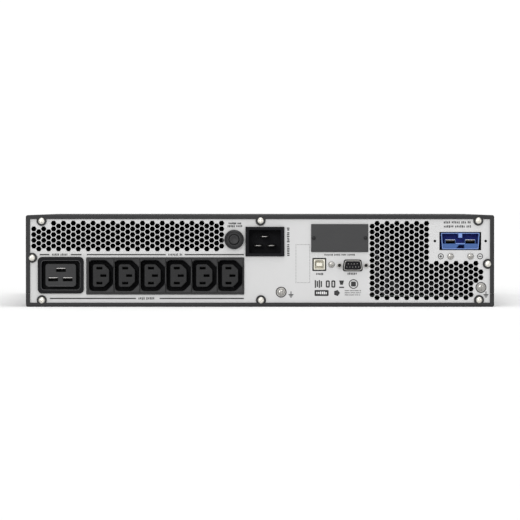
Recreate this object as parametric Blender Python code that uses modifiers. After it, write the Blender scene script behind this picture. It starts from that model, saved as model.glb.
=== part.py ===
"""A 2U rack-mounted uninterruptible power supply, as an assembly of separate pieces.

The rear panel with its outlets faces -Y and the bezel with its display faces +Y.
+X runs along the rack's width and +Z is up. The origin is under the middle of the
whole object, on the plane that it rests on.
"""
import math

import bmesh
import bpy
from mathutils import Matrix

MM = 0.001

# The case: folded sheet steel, two rack units high and as wide as a 19-inch rack's opening.
CASE_WIDTH = 438 * MM
CASE_HEIGHT = 85.8 * MM
CASE_DEPTH = 396 * MM
BEZEL_DEPTH = 23.7 * MM
SHEET = 1.2 * MM
BEND = 2 * MM
GAP = 0.3 * MM
REAR_PROUD = 6.5 * MM
OVERALL_DEPTH = REAR_PROUD + CASE_DEPTH + GAP + BEZEL_DEPTH

# Planes along Y, from the back of the object to its front.
RIM_Y = REAR_PROUD - OVERALL_DEPTH / 2
PANEL_Y = RIM_Y + SHEET + GAP
PANEL_BACK_Y = PANEL_Y + SHEET
CASE_FRONT_Y = RIM_Y + CASE_DEPTH
BEZEL_BACK_Y = CASE_FRONT_Y + GAP
FRONT_Y = BEZEL_BACK_Y + BEZEL_DEPTH

# The rim around the rear panel, with a round tab under each case screw.
RIM_SIDE = 4 * MM
RIM_TOP = 3.8 * MM
RIM_BOTTOM = 3.9 * MM
TAB_RADIUS = 4.7 * MM
TOP_SCREWS = [(-204.2 * MM, 80.3 * MM), (0.5 * MM, 80.6 * MM), (204.1 * MM, 80.6 * MM)]
BOTTOM_SCREWS = [(-204.1 * MM, 6.2 * MM), (0.9 * MM, 6.2 * MM), (204.8 * MM, 6.4 * MM)]
LEFT_SCREW = (-213.1 * MM, 45.9 * MM)
RIGHT_SCREW = (213 * MM, 40.2 * MM)
CASE_SCREWS = [*TOP_SCREWS, LEFT_SCREW, RIGHT_SCREW, *BOTTOM_SCREWS]

# The seam between the wrap-round cover and the tray, and the tray's upstand inside the cover.
SEAM_Z = 12 * MM
UPSTAND_Z = 27 * MM

# Vents: each slot stands for one column of a hexagonal pattern, with the same open area.
VENT_PITCH_X = 4.62 * MM
VENT_PITCH_Z = 5.335 * MM
VENT_CELL = 4.35 * MM
VENT_SLOT_WIDTH = 3.05 * MM
LEFT_VENT_START = (-211.5 * MM, 78.2 * MM)
LEFT_VENT_COLUMNS = 39
LEFT_VENT_CELLS = 5
RIGHT_VENT_START = (104.9 * MM, 78 * MM)
RIGHT_VENT_TALL_COLUMNS = 12
RIGHT_VENT_SHORT_COLUMNS = 9

# Sockets and controls on the rear panel, each with its centre as (X, Z).
LARGE_OUTLET_AT = (-186.3 * MM, 29.6 * MM)
OUTLET_BLOCK_AT = (-88.6 * MM, 28.9 * MM)
OUTLET_COUNT = 6
OUTLET_PITCH = 24.13 * MM
FIRST_OUTLET_AT = (-148.45 * MM, 29.2 * MM)
SOCKET_DEPTH = 16 * MM
INLET_AT = (4.6 * MM, 61 * MM)
INLET_PINS = {
    "inlet_pin_earth": (4.2 * MM, 65.7 * MM),
    "inlet_pin_live": (-1.7 * MM, 57.2 * MM),
    "inlet_pin_neutral": (10.6 * MM, 57.2 * MM),
}
PIN_SIZE = (8 * MM, 2 * MM)
BREAKER_AT = (-24.2 * MM, 63 * MM)
BREAKER_BUTTON_RADIUS = 4.5 * MM
BREAKER_TRAVEL_ROOM = 2 * MM
SLOT_COVER_AT = (74.5 * MM, 64.3 * MM)
SLOT_COVER_SIZE = (53.4 * MM, 26.2 * MM)
SLOT_SCREW_REACH = 24.2 * MM
DATA_PORT_AT = (55.5 * MM, 39.6 * MM)
DATA_SCREW_AT = (66.9 * MM, 39.5 * MM)
SERIAL_PORT_AT = (86.7 * MM, 38.7 * MM)
JACKSCREW_REACH = 12.4 * MM
BATTERY_AT = (187.3 * MM, 61.5 * MM)
BATTERY_CONTACT_REACH = 9.3 * MM
POLARITY_SCREWS = {"positive": (178.2 * MM, 47.2 * MM), "negative": (196.9 * MM, 47.2 * MM)}
GROUND_SCREWS = {"left": (19.8 * MM, 13.7 * MM), "right": (206.7 * MM, 18.1 * MM)}

# The rack ears: 482.6 mm is the width of a 19-inch rack's front.
RACK_WIDTH = 482.6 * MM
EAR_SHEET = 2 * MM
EAR_LEG = 42 * MM
EAR_MARGIN_Z = 3 * MM
EAR_HOLE_X = 465.1 / 2 * MM
EAR_HOLE_Z = (11 * MM, 74 * MM)
EAR_SCREWS_Z = (22 * MM, 63 * MM)
EAR_SCREW_Y = CASE_FRONT_Y - 26 * MM

# Inside: a fan wall, two fans, the power board and what stands on it.
FAN_SIZE = 80 * MM
FAN_DEPTH = 25 * MM
FAN_OPENING = 38 * MM
FAN_X = {"left": -95 * MM, "right": 95 * MM}
FAN_Z = 43 * MM
FAN_WALL_Y = CASE_FRONT_Y - 60 * MM
FAN_BLADES = 7
HUB_RADIUS = 17 * MM
AXLE_RADIUS = 2 * MM
BOARD_Z = 8 * MM
BOARD_SHEET = 1.6 * MM
BOSS_HEIGHT = BOARD_Z - GAP
BOARD_X = 200 * MM
BOARD_BACK_Y = PANEL_BACK_Y + 48 * MM
BOARD_FRONT_Y = FAN_WALL_Y - FAN_DEPTH - 14 * MM
BOARD_TOP = BOARD_Z + BOARD_SHEET + GAP

# The front: louvres beside a control panel with a display and four buttons.
BEZEL_WALL = 2.5 * MM
LOUVRE_X = (62 * MM, 206 * MM)
LOUVRE_ROWS = 7
LOUVRE_PITCH = 9 * MM
LOUVRE_HEIGHT = 3.2 * MM
DISPLAY_AT = (-10 * MM, 49 * MM)
DISPLAY_SIZE = (64 * MM, 38 * MM)
POWER_BUTTON_AT = (40 * MM, 55 * MM)
POWER_BUTTON_RADIUS = 7 * MM
MENU_BUTTONS = {
    "menu_button_back": (-28 * MM, 17 * MM),
    "menu_button_enter": (-10 * MM, 17 * MM),
    "menu_button_next": (8 * MM, 17 * MM),
}
MENU_BUTTON_RADIUS = 4 * MM


# ---- The file's collections and materials ----

def clear_scene():
    for obj in list(bpy.data.objects):
        bpy.data.objects.remove(obj, do_unlink=True)


def new_collection(name):
    collection = bpy.data.collections.new(name)
    bpy.context.scene.collection.children.link(collection)
    return collection


def material(name, colour, roughness, metallic=0.0):
    mat = bpy.data.materials.new(name)
    mat.use_nodes = True
    shader = mat.node_tree.nodes["Principled BSDF"]
    shader.inputs["Base Color"].default_value = (*colour, 1)
    shader.inputs["Roughness"].default_value = roughness
    shader.inputs["Metallic"].default_value = metallic
    return mat


# ---- Outlines, as lists of (x, z) points ----

def circle(x, z, radius, sides=16):
    turns = [2 * math.pi * i / sides for i in range(sides)]
    return [(x + radius * math.cos(a), z + radius * math.sin(a)) for a in turns]


def rectangle(x, z, width, height):
    return [
        (x + side * width / 2, z + end * height / 2)
        for side, end in ((-1, -1), (1, -1), (1, 1), (-1, 1))
    ]


def rounded_rectangle(x, z, width, height, radius, steps=3):
    points = []
    for quarter, (side, end) in enumerate(((1, 1), (-1, 1), (-1, -1), (1, -1))):
        corner_x = x + side * (width / 2 - radius)
        corner_z = z + end * (height / 2 - radius)
        for step in range(steps + 1):
            angle = math.pi / 2 * (quarter + step / steps)
            points.append((corner_x + radius * math.cos(angle), corner_z + radius * math.sin(angle)))
    return points


def chamfered_right(x, z, width, height, chamfer):
    """A rectangle whose two right-hand corners are cut off, as an outlet turned on its side."""
    left, right = x - width / 2, x + width / 2
    low, high = z - height / 2, z + height / 2
    return [(left, low), (right - chamfer, low), (right, low + chamfer),
            (right, high - chamfer), (right - chamfer, high), (left, high)]


def trapezoid(x, z, top_width, bottom_width, height):
    return [(x - bottom_width / 2, z - height / 2), (x + bottom_width / 2, z - height / 2),
            (x + top_width / 2, z + height / 2), (x - top_width / 2, z + height / 2)]


def cross(x, z, reach, half):
    """A plus sign, as the four struts that hold a fan's hub."""
    points = []
    for quarter in range(4):
        along = (round(math.cos(math.pi / 2 * quarter)), round(math.sin(math.pi / 2 * quarter)))
        across = (-along[1], along[0])
        for out, side in ((reach, -half), (reach, half), (half, half)):
            points.append((x + along[0] * out + across[0] * side, z + along[1] * out + across[1] * side))
    return points


def tab_arc(screw, along, inward, edge_distance, steps=10):
    """The half-round that a screw's tab makes in the rim's inner edge."""
    lift = math.asin(edge_distance / TAB_RADIUS)
    points = []
    for step in range(steps + 1):
        angle = math.pi + lift - (math.pi + 2 * lift) * step / steps
        reach, depth = TAB_RADIUS * math.cos(angle), TAB_RADIUS * math.sin(angle)
        points.append((screw[0] + along[0] * reach + inward[0] * depth,
                       screw[1] + along[1] * reach + inward[1] * depth))
    return points


def rim_window():
    """The rim's inner edge, walked anticlockwise from the lower left corner."""
    left, right = -CASE_WIDTH / 2 + RIM_SIDE, CASE_WIDTH / 2 - RIM_SIDE
    low, high = RIM_BOTTOM, CASE_HEIGHT - RIM_TOP
    points = [(left, low)]
    for screw in BOTTOM_SCREWS:
        points += tab_arc(screw, (1, 0), (0, 1), screw[1] - low)
    points.append((right, low))
    points += tab_arc(RIGHT_SCREW, (0, 1), (-1, 0), right - RIGHT_SCREW[0])
    points.append((right, high))
    for screw in reversed(TOP_SCREWS):
        points += tab_arc(screw, (-1, 0), (0, -1), high - screw[1])
    points.append((left, high))
    points += tab_arc(LEFT_SCREW, (0, -1), (1, 0), LEFT_SCREW[0] - left)
    return points


def vent_slot(x, top, cells):
    """One column of vent cells as a slot, from its highest cell's centre downwards."""
    height = (cells - 1) * VENT_PITCH_Z + VENT_CELL
    middle = top - (cells - 1) * VENT_PITCH_Z / 2
    return rectangle(x, middle, VENT_SLOT_WIDTH, height)


def left_vent():
    """Two rows of columns, staggered by half a pitch. The first four clear the case screw."""
    slots = []
    for column in range(LEFT_VENT_COLUMNS):
        missing = 1 if column < 4 else 0
        top = LEFT_VENT_START[1] - (column % 2 / 2 + missing) * VENT_PITCH_Z
        x = LEFT_VENT_START[0] + column * VENT_PITCH_X
        slots.append(vent_slot(x, top, LEFT_VENT_CELLS - missing))
    return slots


def right_vent():
    """Tall columns, then shorter ones under the battery connector, then a stepped edge."""
    slots = []
    short_end = RIGHT_VENT_TALL_COLUMNS + RIGHT_VENT_SHORT_COLUMNS
    for column in range(short_end + 2):
        offset = (column + 1) % 2 / 2
        cells = 14 - (column + 1) % 2
        skipped = 0 if column < RIGHT_VENT_TALL_COLUMNS else 7
        if column >= short_end:
            skipped += column - short_end
            cells = skipped + 4 - 2 * (column - short_end)
        top = RIGHT_VENT_START[1] - (offset + skipped) * VENT_PITCH_Z
        x = RIGHT_VENT_START[0] + column * VENT_PITCH_X
        slots.append(vent_slot(x, top, cells - skipped))
    return slots


# ---- Solids ----

def add_object(name, mesh, mat=None, matrix=None):
    """Puts a mesh in the object's collection, or in the cutters' one if it has no material."""
    obj = bpy.data.objects.new(name, mesh)
    if mat:
        mesh.materials.clear()
        mesh.materials.append(mat)
        parts.objects.link(obj)
    else:
        cutters.objects.link(obj)
        obj.hide_render = True
        obj.display_type = "WIRE"
    if matrix:
        obj.matrix_world = matrix
    return obj


def prism(name, outlines, back, front, mat=None):
    """Flat outlines in X and Z, the later ones holes, extruded from Y = back to Y = front."""
    curve = bpy.data.curves.new(name, "CURVE")
    curve.dimensions = "2D"
    curve.fill_mode = "BOTH"
    curve.extrude = (front - back) / 2
    for outline in outlines:
        spline = curve.splines.new("POLY")
        spline.points.add(len(outline) - 1)
        spline.use_cyclic_u = True
        for point, (x, z) in zip(spline.points, outline):
            point.co = (x, z, 0, 1)
    guide = bpy.data.objects.new(name, curve)
    cutters.objects.link(guide)
    guide.rotation_euler.x = math.pi / 2
    guide.location.y = (back + front) / 2
    bpy.context.view_layer.update()
    mesh = bpy.data.meshes.new_from_object(guide.evaluated_get(bpy.context.evaluated_depsgraph_get()))
    matrix = guide.matrix_world.copy()
    bpy.data.objects.remove(guide, do_unlink=True)
    solid = bmesh.new()
    solid.from_mesh(mesh)
    bmesh.ops.remove_doubles(solid, verts=solid.verts, dist=0.00001)
    bmesh.ops.recalc_face_normals(solid, faces=solid.faces)
    solid.to_mesh(mesh)
    solid.free()
    mesh.name = name
    return add_object(name, mesh, mat, matrix)


def box(name, low, high, mat=None, bevel=0.0):
    """A block between two corners, with its edges rounded if bevel is given."""
    solid = bmesh.new()
    bmesh.ops.create_cube(solid, size=1)
    sizes = [h - l for l, h in zip(low, high)]
    bmesh.ops.scale(solid, vec=sizes, verts=solid.verts)
    mesh = bpy.data.meshes.new(name)
    solid.to_mesh(mesh)
    solid.free()
    middle = [(l + h) / 2 for l, h in zip(low, high)]
    obj = add_object(name, mesh, mat, Matrix.Translation(middle))
    if bevel:
        rounding = obj.modifiers.new("rounding", "BEVEL")
        rounding.width = bevel
        rounding.segments = 2
    return obj


def turned(name, profile, location, mat=None, facing="rear", steps=16):
    """A profile of (radius, height) pairs, top to bottom, turned about an axis through location.

    The profile's height points out of the rear panel, out of the bezel, or along X or Z.
    """
    mesh = bpy.data.meshes.new(name)
    solid = bmesh.new()
    points = [solid.verts.new((radius, 0, height)) for radius, height in profile]
    for first, second in zip(points, points[1:]):
        solid.edges.new((first, second))
    solid.to_mesh(mesh)
    solid.free()
    turns = {
        "rear": Matrix.Rotation(math.pi / 2, 4, "X"),
        "front": Matrix.Rotation(-math.pi / 2, 4, "X"),
        "left": Matrix.Rotation(-math.pi / 2, 4, "Y"),
        "right": Matrix.Rotation(math.pi / 2, 4, "Y"),
        "up": Matrix.Identity(4),
    }
    obj = add_object(name, mesh, mat, Matrix.Translation(location) @ turns[facing])
    screw = obj.modifiers.new("turning", "SCREW")
    screw.steps = steps
    screw.render_steps = steps
    screw.use_merge_vertices = True
    screw.merge_threshold = 0.00001
    return obj


def boolean(target, operation, tools):
    for tool in tools:
        cut = target.modifiers.new(tool.name, "BOOLEAN")
        cut.operation = operation
        cut.solver = "EXACT"
        cut.object = tool
    return target


def cut(target, *tools):
    return boolean(target, "DIFFERENCE", tools)


def join(target, *tools):
    return boolean(target, "UNION", tools)


# ---- The case ----

def case_shell(name, mat):
    """The whole sleeve with its rear rim. The cover and the tray are each cut from one."""
    middle = CASE_HEIGHT / 2
    outer = rounded_rectangle(0, middle, CASE_WIDTH, CASE_HEIGHT, BEND)
    inner = rounded_rectangle(0, middle, CASE_WIDTH - 2 * SHEET, CASE_HEIGHT - 2 * SHEET, BEND - SHEET)
    holes = [circle(x, z, 1.6 * MM, 8) for x, z in CASE_SCREWS]
    shell = prism(name, [outer], RIM_Y, CASE_FRONT_Y, mat)
    hollow = prism(f"{name}_hollow", [inner], RIM_Y + SHEET, CASE_FRONT_Y + SHEET)
    window = prism(f"{name}_window", [rim_window(), *holes], RIM_Y - SHEET, RIM_Y + 2 * SHEET)
    return cut(shell, hollow, window)


def make_top_cover(mat):
    """Top and both sides in one sheet, with the ears' screw holes."""
    cover = case_shell("top_cover", mat)
    reach = CASE_WIDTH / 2 + SHEET
    below = box("below_the_seam", (-reach, RIM_Y - SHEET, -SHEET),
                (reach, CASE_FRONT_Y + SHEET, SEAM_Z + GAP))
    cut(cover, below, *ear_screw_holes("cover"))


def make_base_tray(mat):
    """The bottom with its folded hems, its upstands inside the cover and the board's bosses."""
    tray = case_shell("base_tray", mat)
    reach = CASE_WIDTH / 2 + SHEET
    above = box("above_the_seam", (-reach, RIM_Y - SHEET, SEAM_Z),
                (reach, CASE_FRONT_Y + SHEET, CASE_HEIGHT + SHEET))
    cut(tray, above)
    back, front = PANEL_BACK_Y + GAP, CASE_FRONT_Y
    outer = CASE_WIDTH / 2 - SHEET
    for side in (-1, 1):
        wall = sorted((side * (outer - GAP - SHEET), side * (outer - GAP)))
        hem = sorted((side * (outer - GAP - SHEET), side * (outer + SHEET / 2)))
        join(tray,
             box(f"upstand_{side}", (wall[0], back, SHEET / 2), (wall[1], front, UPSTAND_Z)),
             box(f"hem_{side}", (hem[0], back, SHEET / 2), (hem[1], front, SEAM_Z)))
    cut(tray, *ear_screw_holes("tray"))
    for index, (x, y) in enumerate(boss_places()):
        profile = [(0, BOSS_HEIGHT), (3 * MM, BOSS_HEIGHT), (4.5 * MM, SHEET / 2), (0, SHEET / 2)]
        join(tray, turned(f"boss_{index}", profile, (x, y, 0), facing="up", steps=8))


def boss_places():
    """The six places where the power board rests."""
    inset = 10 * MM
    rows = (BOARD_BACK_Y + inset, (BOARD_BACK_Y + BOARD_FRONT_Y) / 2, BOARD_FRONT_Y - inset)
    return [(side * (BOARD_X - inset), y) for side in (-1, 1) for y in rows]


def ear_screw_holes(name):
    """Cutters along X for the four ear screws on both sides of the case."""
    radius, length = 2.2 * MM, CASE_WIDTH + 10 * MM
    profile = [(0, length / 2), (radius, length / 2), (radius, -length / 2), (0, -length / 2)]
    return [
        turned(f"{name}_ear_hole_{index}", profile, (0, EAR_SCREW_Y, z), facing="right", steps=10)
        for index, z in enumerate(EAR_SCREWS_Z)
    ]


def make_rear_panel(mat):
    """The flat panel behind the rim, with the vents and an opening for each fitting."""
    slot_x, slot_z = SLOT_COVER_AT
    serial_x, serial_z = SERIAL_PORT_AT
    outlines = [
        rectangle(0, CASE_HEIGHT / 2, CASE_WIDTH - 2 * SHEET - 4 * GAP, CASE_HEIGHT - 2 * SHEET - 4 * GAP),
        rectangle(*LARGE_OUTLET_AT, 39.4 * MM, 30.6 * MM),
        rectangle(*OUTLET_BLOCK_AT, 145.8 * MM, 32.2 * MM),
        rectangle(*INLET_AT, 33.2 * MM, 25.2 * MM),
        circle(*BREAKER_AT, 6.4 * MM),
        rectangle(slot_x, slot_z, 42 * MM, 22 * MM),
        rectangle(*DATA_PORT_AT, 13 * MM, 12.2 * MM),
        trapezoid(serial_x, serial_z, 16.2 * MM, 19.2 * MM, 10.8 * MM),
        rectangle(*BATTERY_AT, 39.1 * MM, 17.1 * MM),
    ]
    outlines += [circle(x, z, 1.6 * MM, 8) for x, z in CASE_SCREWS]
    outlines += [circle(slot_x + side * SLOT_SCREW_REACH, slot_z, 1.6 * MM, 8) for side in (-1, 1)]
    outlines += [circle(serial_x + side * JACKSCREW_REACH, serial_z, 1.9 * MM, 8) for side in (-1, 1)]
    outlines += [circle(x, z, 1.6 * MM, 8) for x, z in (DATA_SCREW_AT, *POLARITY_SCREWS.values())]
    outlines += [circle(x, z, 2.1 * MM, 8) for x, z in GROUND_SCREWS.values()]
    outlines += [circle(BATTERY_AT[0] + side * 23.75 * MM, BATTERY_AT[1], 1.25 * MM, 8) for side in (-1, 1)]
    prism("rear_panel", outlines + left_vent() + right_vent(), PANEL_Y, PANEL_BACK_Y, mat)


def screw_profile(head_radius, head_height, shank_radius, shank_length):
    """A domed head over a plain shank, with height 0 under the head."""
    return [
        (0, head_height),
        (0.55 * head_radius, 0.9 * head_height),
        (head_radius, 0.35 * head_height),
        (head_radius, 0),
        (shank_radius, 0),
        (shank_radius, -shank_length),
        (0, -shank_length),
    ]


def make_case_screws(mat):
    names = ["top_left", "top_middle", "top_right", "side_left", "side_right",
             "bottom_left", "bottom_middle", "bottom_right"]
    profile = screw_profile(3 * MM, 2 * MM, 1.3 * MM, 7 * MM)
    for name, (x, z) in zip(names, CASE_SCREWS):
        turned(f"case_screw_{name}", profile, (x, RIM_Y - GAP, z), mat, steps=12)


# ---- The rear fittings ----

def socket_housing(name, at, flange, body, depth, mat, radius=0.0):
    """A flange outside the panel and a body that runs through its opening."""
    outline = rounded_rectangle(*at, *flange, radius) if radius else rectangle(*at, *flange)
    face = PANEL_Y - GAP - 2.5 * MM
    housing = prism(name, [outline], face, PANEL_Y - GAP, mat)
    join(housing, prism(f"{name}_body", [rectangle(*at, *body)], face + 1 * MM, PANEL_Y + depth))
    return housing, face


def make_large_outlet(mat):
    """The 16 A outlet: a rounded bezel, a deep recess and an insert with three slots."""
    x, z = LARGE_OUTLET_AT
    housing, face = socket_housing("outlet_c19", LARGE_OUTLET_AT, (42.9 * MM, 34.2 * MM),
                                   (38.8 * MM, 30 * MM), 28 * MM, mat, 3.6 * MM)
    cavity = rounded_rectangle(x, z, 36.1 * MM, 27.1 * MM, 3 * MM)
    insert = rounded_rectangle(x, z, 28.8 * MM, 21.3 * MM, 2.5 * MM)
    slots = [rectangle(x + dx * MM, z + dz * MM, 9 * MM, 2.5 * MM)
             for dx, dz in ((0.2, 4.8), (-7.1, -4.1), (6.5, -4.1))]
    cut(housing,
        prism("large_recess", [cavity, insert], face - 1 * MM, face + SOCKET_DEPTH),
        prism("large_step", [cavity], face - 1 * MM, face + 1 * MM),
        prism("large_slots", slots, face, face + SOCKET_DEPTH))


def make_outlet_block(mat):
    """Six 10 A outlets in one moulding, each turned so that its chamfered corners are on the right."""
    housing, face = socket_housing("outlet_block", OUTLET_BLOCK_AT, (147.7 * MM, 34.8 * MM),
                                   (145.2 * MM, 31.6 * MM), 28 * MM, mat)
    recesses, slots = [], []
    for index in range(OUTLET_COUNT):
        x, z = FIRST_OUTLET_AT[0] + index * OUTLET_PITCH, FIRST_OUTLET_AT[1]
        recesses.append(chamfered_right(x, z, 21.9 * MM, 28.3 * MM, 6.5 * MM))
        recesses.append(chamfered_right(x - 0.2 * MM, z, 15.3 * MM, 21.3 * MM, 5 * MM))
        for dx, dz in ((-1.7, 7), (2, 0), (-1.7, -7)):
            slots.append(rectangle(x + dx * MM, z + dz * MM, 5.5 * MM, 2.2 * MM))
    cut(housing,
        prism("outlet_recesses", recesses, face - 1 * MM, face + SOCKET_DEPTH),
        prism("outlet_slots", slots, face - 1 * MM, face + SOCKET_DEPTH))


def make_inlet(housing_mat, pin_mat):
    """The 16 A inlet with three flat pins that run through to the wiring behind."""
    housing, face = socket_housing("inlet_housing", INLET_AT, (36.4 * MM, 27.7 * MM),
                                   (32.6 * MM, 24.6 * MM), 26 * MM, housing_mat)
    pin_holes = [rectangle(*at, PIN_SIZE[0] + 2 * GAP, PIN_SIZE[1] + 2 * GAP) for at in INLET_PINS.values()]
    cut(housing,
        prism("inlet_cavity", [rectangle(*INLET_AT, 29.7 * MM, 21.7 * MM)], face - 1 * MM, face + 20 * MM),
        prism("inlet_pin_holes", pin_holes, face + 1 * MM, PANEL_Y + 30 * MM))
    for name, at in INLET_PINS.items():
        prism(name, [rectangle(*at, *PIN_SIZE)], face + 4 * MM, PANEL_Y + 33 * MM, pin_mat)


def make_breaker(body_mat, button_mat):
    """A push-to-reset breaker: a round collar outside, a bushing and a block inside."""
    x, z = BREAKER_AT
    collar = 9.1 * MM
    proud = REAR_PROUD - BREAKER_TRAVEL_ROOM + SHEET + GAP
    profile = [
        (0, proud), (collar - 1 * MM, proud), (collar, proud - 1 * MM), (collar, GAP),
        (6 * MM, GAP), (6 * MM, -4 * MM), (11 * MM, -4 * MM), (11 * MM, -32 * MM), (0, -32 * MM),
    ]
    body = turned("breaker_body", profile, (x, PANEL_Y, z), body_mat, steps=24)
    bore = BREAKER_BUTTON_RADIUS + GAP
    well = [(0, 20 * MM), (bore, 20 * MM), (bore, -12 * MM), (0, -12 * MM)]
    cut(body, turned("breaker_well", well, (x, PANEL_Y, z), steps=20))
    face = REAR_PROUD + SHEET + GAP
    button = [
        (0, face), (BREAKER_BUTTON_RADIUS - 0.8 * MM, face), (BREAKER_BUTTON_RADIUS, face - 0.8 * MM),
        (BREAKER_BUTTON_RADIUS, -10 * MM), (0, -10 * MM),
    ]
    turned("breaker_button", button, (x, PANEL_Y, z), button_mat, steps=20)


def make_slot_cover(cover_mat, screw_mat):
    """The blanking plate over the expansion slot, held by two low screws."""
    x, z = SLOT_COVER_AT
    holes = [circle(x + side * SLOT_SCREW_REACH, z, 1.6 * MM, 8) for side in (-1, 1)]
    back = PANEL_Y - GAP
    prism("slot_cover", [rectangle(x, z, *SLOT_COVER_SIZE), *holes], back - SHEET, back, cover_mat)
    profile = screw_profile(2.4 * MM, 1 * MM, 1.3 * MM, 6 * MM)
    for name, side in (("left", -1), ("right", 1)):
        place = (x + side * SLOT_SCREW_REACH, back - SHEET - GAP, z)
        turned(f"slot_screw_{name}", profile, place, screw_mat, steps=12)


def make_data_port(shell_mat, core_mat, screw_mat):
    """A square data port: a metal can around a light moulding with a tongue in its middle."""
    x, z = DATA_PORT_AT
    front, back = PANEL_Y - 0.6 * MM, PANEL_Y + 15 * MM
    prism("data_port_shell", [rectangle(x, z, 12.2 * MM, 11.4 * MM), rectangle(x, z, 11.2 * MM, 10.4 * MM)],
          front, back, shell_mat)
    core = prism("data_port_core", [rectangle(x, z, 10.6 * MM, 9.8 * MM)], front + GAP, back, core_mat)
    recess = [rectangle(x, z, 8.4 * MM, 7.8 * MM), rectangle(x, z, 5.6 * MM, 3.2 * MM)]
    cut(core, prism("data_recess", recess, front - GAP, front + 9 * MM))
    profile = screw_profile(2.95 * MM, 1.8 * MM, 1.3 * MM, 8 * MM)
    turned("data_port_screw", profile, (DATA_SCREW_AT[0], PANEL_Y - GAP, DATA_SCREW_AT[1]), screw_mat, steps=12)


def make_serial_port(shell_mat, insert_mat, screw_mat):
    """A nine-pole serial port, wide side down, with its flange behind the panel."""
    x, z = SERIAL_PORT_AT
    flange_front = PANEL_BACK_Y + GAP
    holes = [circle(x + side * JACKSCREW_REACH, z, 1.9 * MM, 8) for side in (-1, 1)]
    opening = trapezoid(x, z, 13.6 * MM, 16.4 * MM, 8.2 * MM)
    shell = prism("serial_shell", [trapezoid(x, z, 15.2 * MM, 18.2 * MM, 9.9 * MM), opening],
                  PANEL_Y - 4 * MM, flange_front + 10 * MM, shell_mat)
    join(shell, prism("serial_flange", [rectangle(x, z, 30.8 * MM, 12.5 * MM), opening, *holes],
                      flange_front, flange_front + 1 * MM))
    prism("serial_insert", [trapezoid(x, z, 12.9 * MM, 15.6 * MM, 7.4 * MM)],
          PANEL_Y - 3.2 * MM, flange_front + 12 * MM, insert_mat)
    profile = [(0, 3.2 * MM), (2.4 * MM, 3.2 * MM), (2.4 * MM, 0), (1.5 * MM, 0),
               (1.5 * MM, -8 * MM), (0, -8 * MM)]
    for name, side in (("left", -1), ("right", 1)):
        place = (x + side * JACKSCREW_REACH, PANEL_Y - GAP, z)
        turned(f"jackscrew_{name}", profile, place, screw_mat, steps=6)


def make_battery_connector(housing_mat, contact_mat):
    """A two-pole battery connector with a divided mouth and one flat contact in each side."""
    x, z = BATTERY_AT
    face = PANEL_Y - 0.5 * MM
    housing = prism("battery_connector", [trapezoid(x, z, 36 * MM, 33.8 * MM, 15.3 * MM)],
                    face, PANEL_Y + 36 * MM, housing_mat)
    mouths, wells = [], []
    for side in (-1, 1):
        middle = x + side * BATTERY_CONTACT_REACH
        mouths.append(rectangle(middle, z + 2.2 * MM, 13.6 * MM, 8.4 * MM))
        wells.append(rectangle(middle, z - 0.2 * MM, 9 * MM, 2.2 * MM))
    cut(housing,
        prism("battery_mouths", mouths, face - 1 * MM, face + 14 * MM),
        prism("battery_wells", wells, face + 13 * MM, PANEL_Y + 38 * MM))
    for name, side in (("positive", -1), ("negative", 1)):
        contact = rectangle(x + side * BATTERY_CONTACT_REACH, z - 0.2 * MM, 8.4 * MM, 1.6 * MM)
        prism(f"battery_contact_{name}", [contact], face + 2 * MM, PANEL_Y + 40 * MM, contact_mat)


def make_panel_screws(mat):
    """Earth screws with wide heads, and the screws that hold the battery connector's bracket."""
    ground = screw_profile(4.9 * MM, 2.4 * MM, 1.8 * MM, 9 * MM)
    for name, (x, z) in GROUND_SCREWS.items():
        turned(f"ground_screw_{name}", ground, (x, PANEL_Y - GAP, z), mat)
    small = screw_profile(3 * MM, 1.8 * MM, 1.3 * MM, 8 * MM)
    for name, (x, z) in POLARITY_SCREWS.items():
        turned(f"battery_screw_{name}", small, (x, PANEL_Y - GAP, z), mat, steps=12)


# ---- The front ----

def make_bezel(mat):
    """A moulded front, hollow behind, with louvres and openings for the controls."""
    middle = CASE_HEIGHT / 2
    outer = rounded_rectangle(0, middle, CASE_WIDTH, CASE_HEIGHT, 4 * MM)
    inner = rounded_rectangle(0, middle, CASE_WIDTH - 2 * BEZEL_WALL, CASE_HEIGHT - 2 * BEZEL_WALL, 2 * MM)
    bezel = prism("front_bezel", [outer], BEZEL_BACK_Y, FRONT_Y, mat)
    hollow = prism("bezel_hollow", [inner], BEZEL_BACK_Y - 1 * MM, FRONT_Y - BEZEL_WALL)
    louvres = []
    for side in (-1, 1):
        for row in range(LOUVRE_ROWS):
            height = middle + (row - (LOUVRE_ROWS - 1) / 2) * LOUVRE_PITCH
            centre = side * (LOUVRE_X[0] + LOUVRE_X[1]) / 2
            louvres.append(rectangle(centre, height, LOUVRE_X[1] - LOUVRE_X[0], LOUVRE_HEIGHT))
    controls = [
        rectangle(*DISPLAY_AT, DISPLAY_SIZE[0] - 4 * MM, DISPLAY_SIZE[1] - 4 * MM),
        circle(*POWER_BUTTON_AT, POWER_BUTTON_RADIUS + GAP, 20),
    ]
    controls += [circle(*at, MENU_BUTTON_RADIUS + GAP) for at in MENU_BUTTONS.values()]
    seat = rectangle(*DISPLAY_AT, DISPLAY_SIZE[0] + 2 * GAP, DISPLAY_SIZE[1] + 2 * GAP)
    through = FRONT_Y - 2 * BEZEL_WALL
    cut(bezel,
        hollow,
        prism("bezel_openings", louvres + controls, through, FRONT_Y + 1 * MM),
        prism("display_seat", [seat], FRONT_Y - 1.5 * MM, FRONT_Y + 1 * MM))


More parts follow.
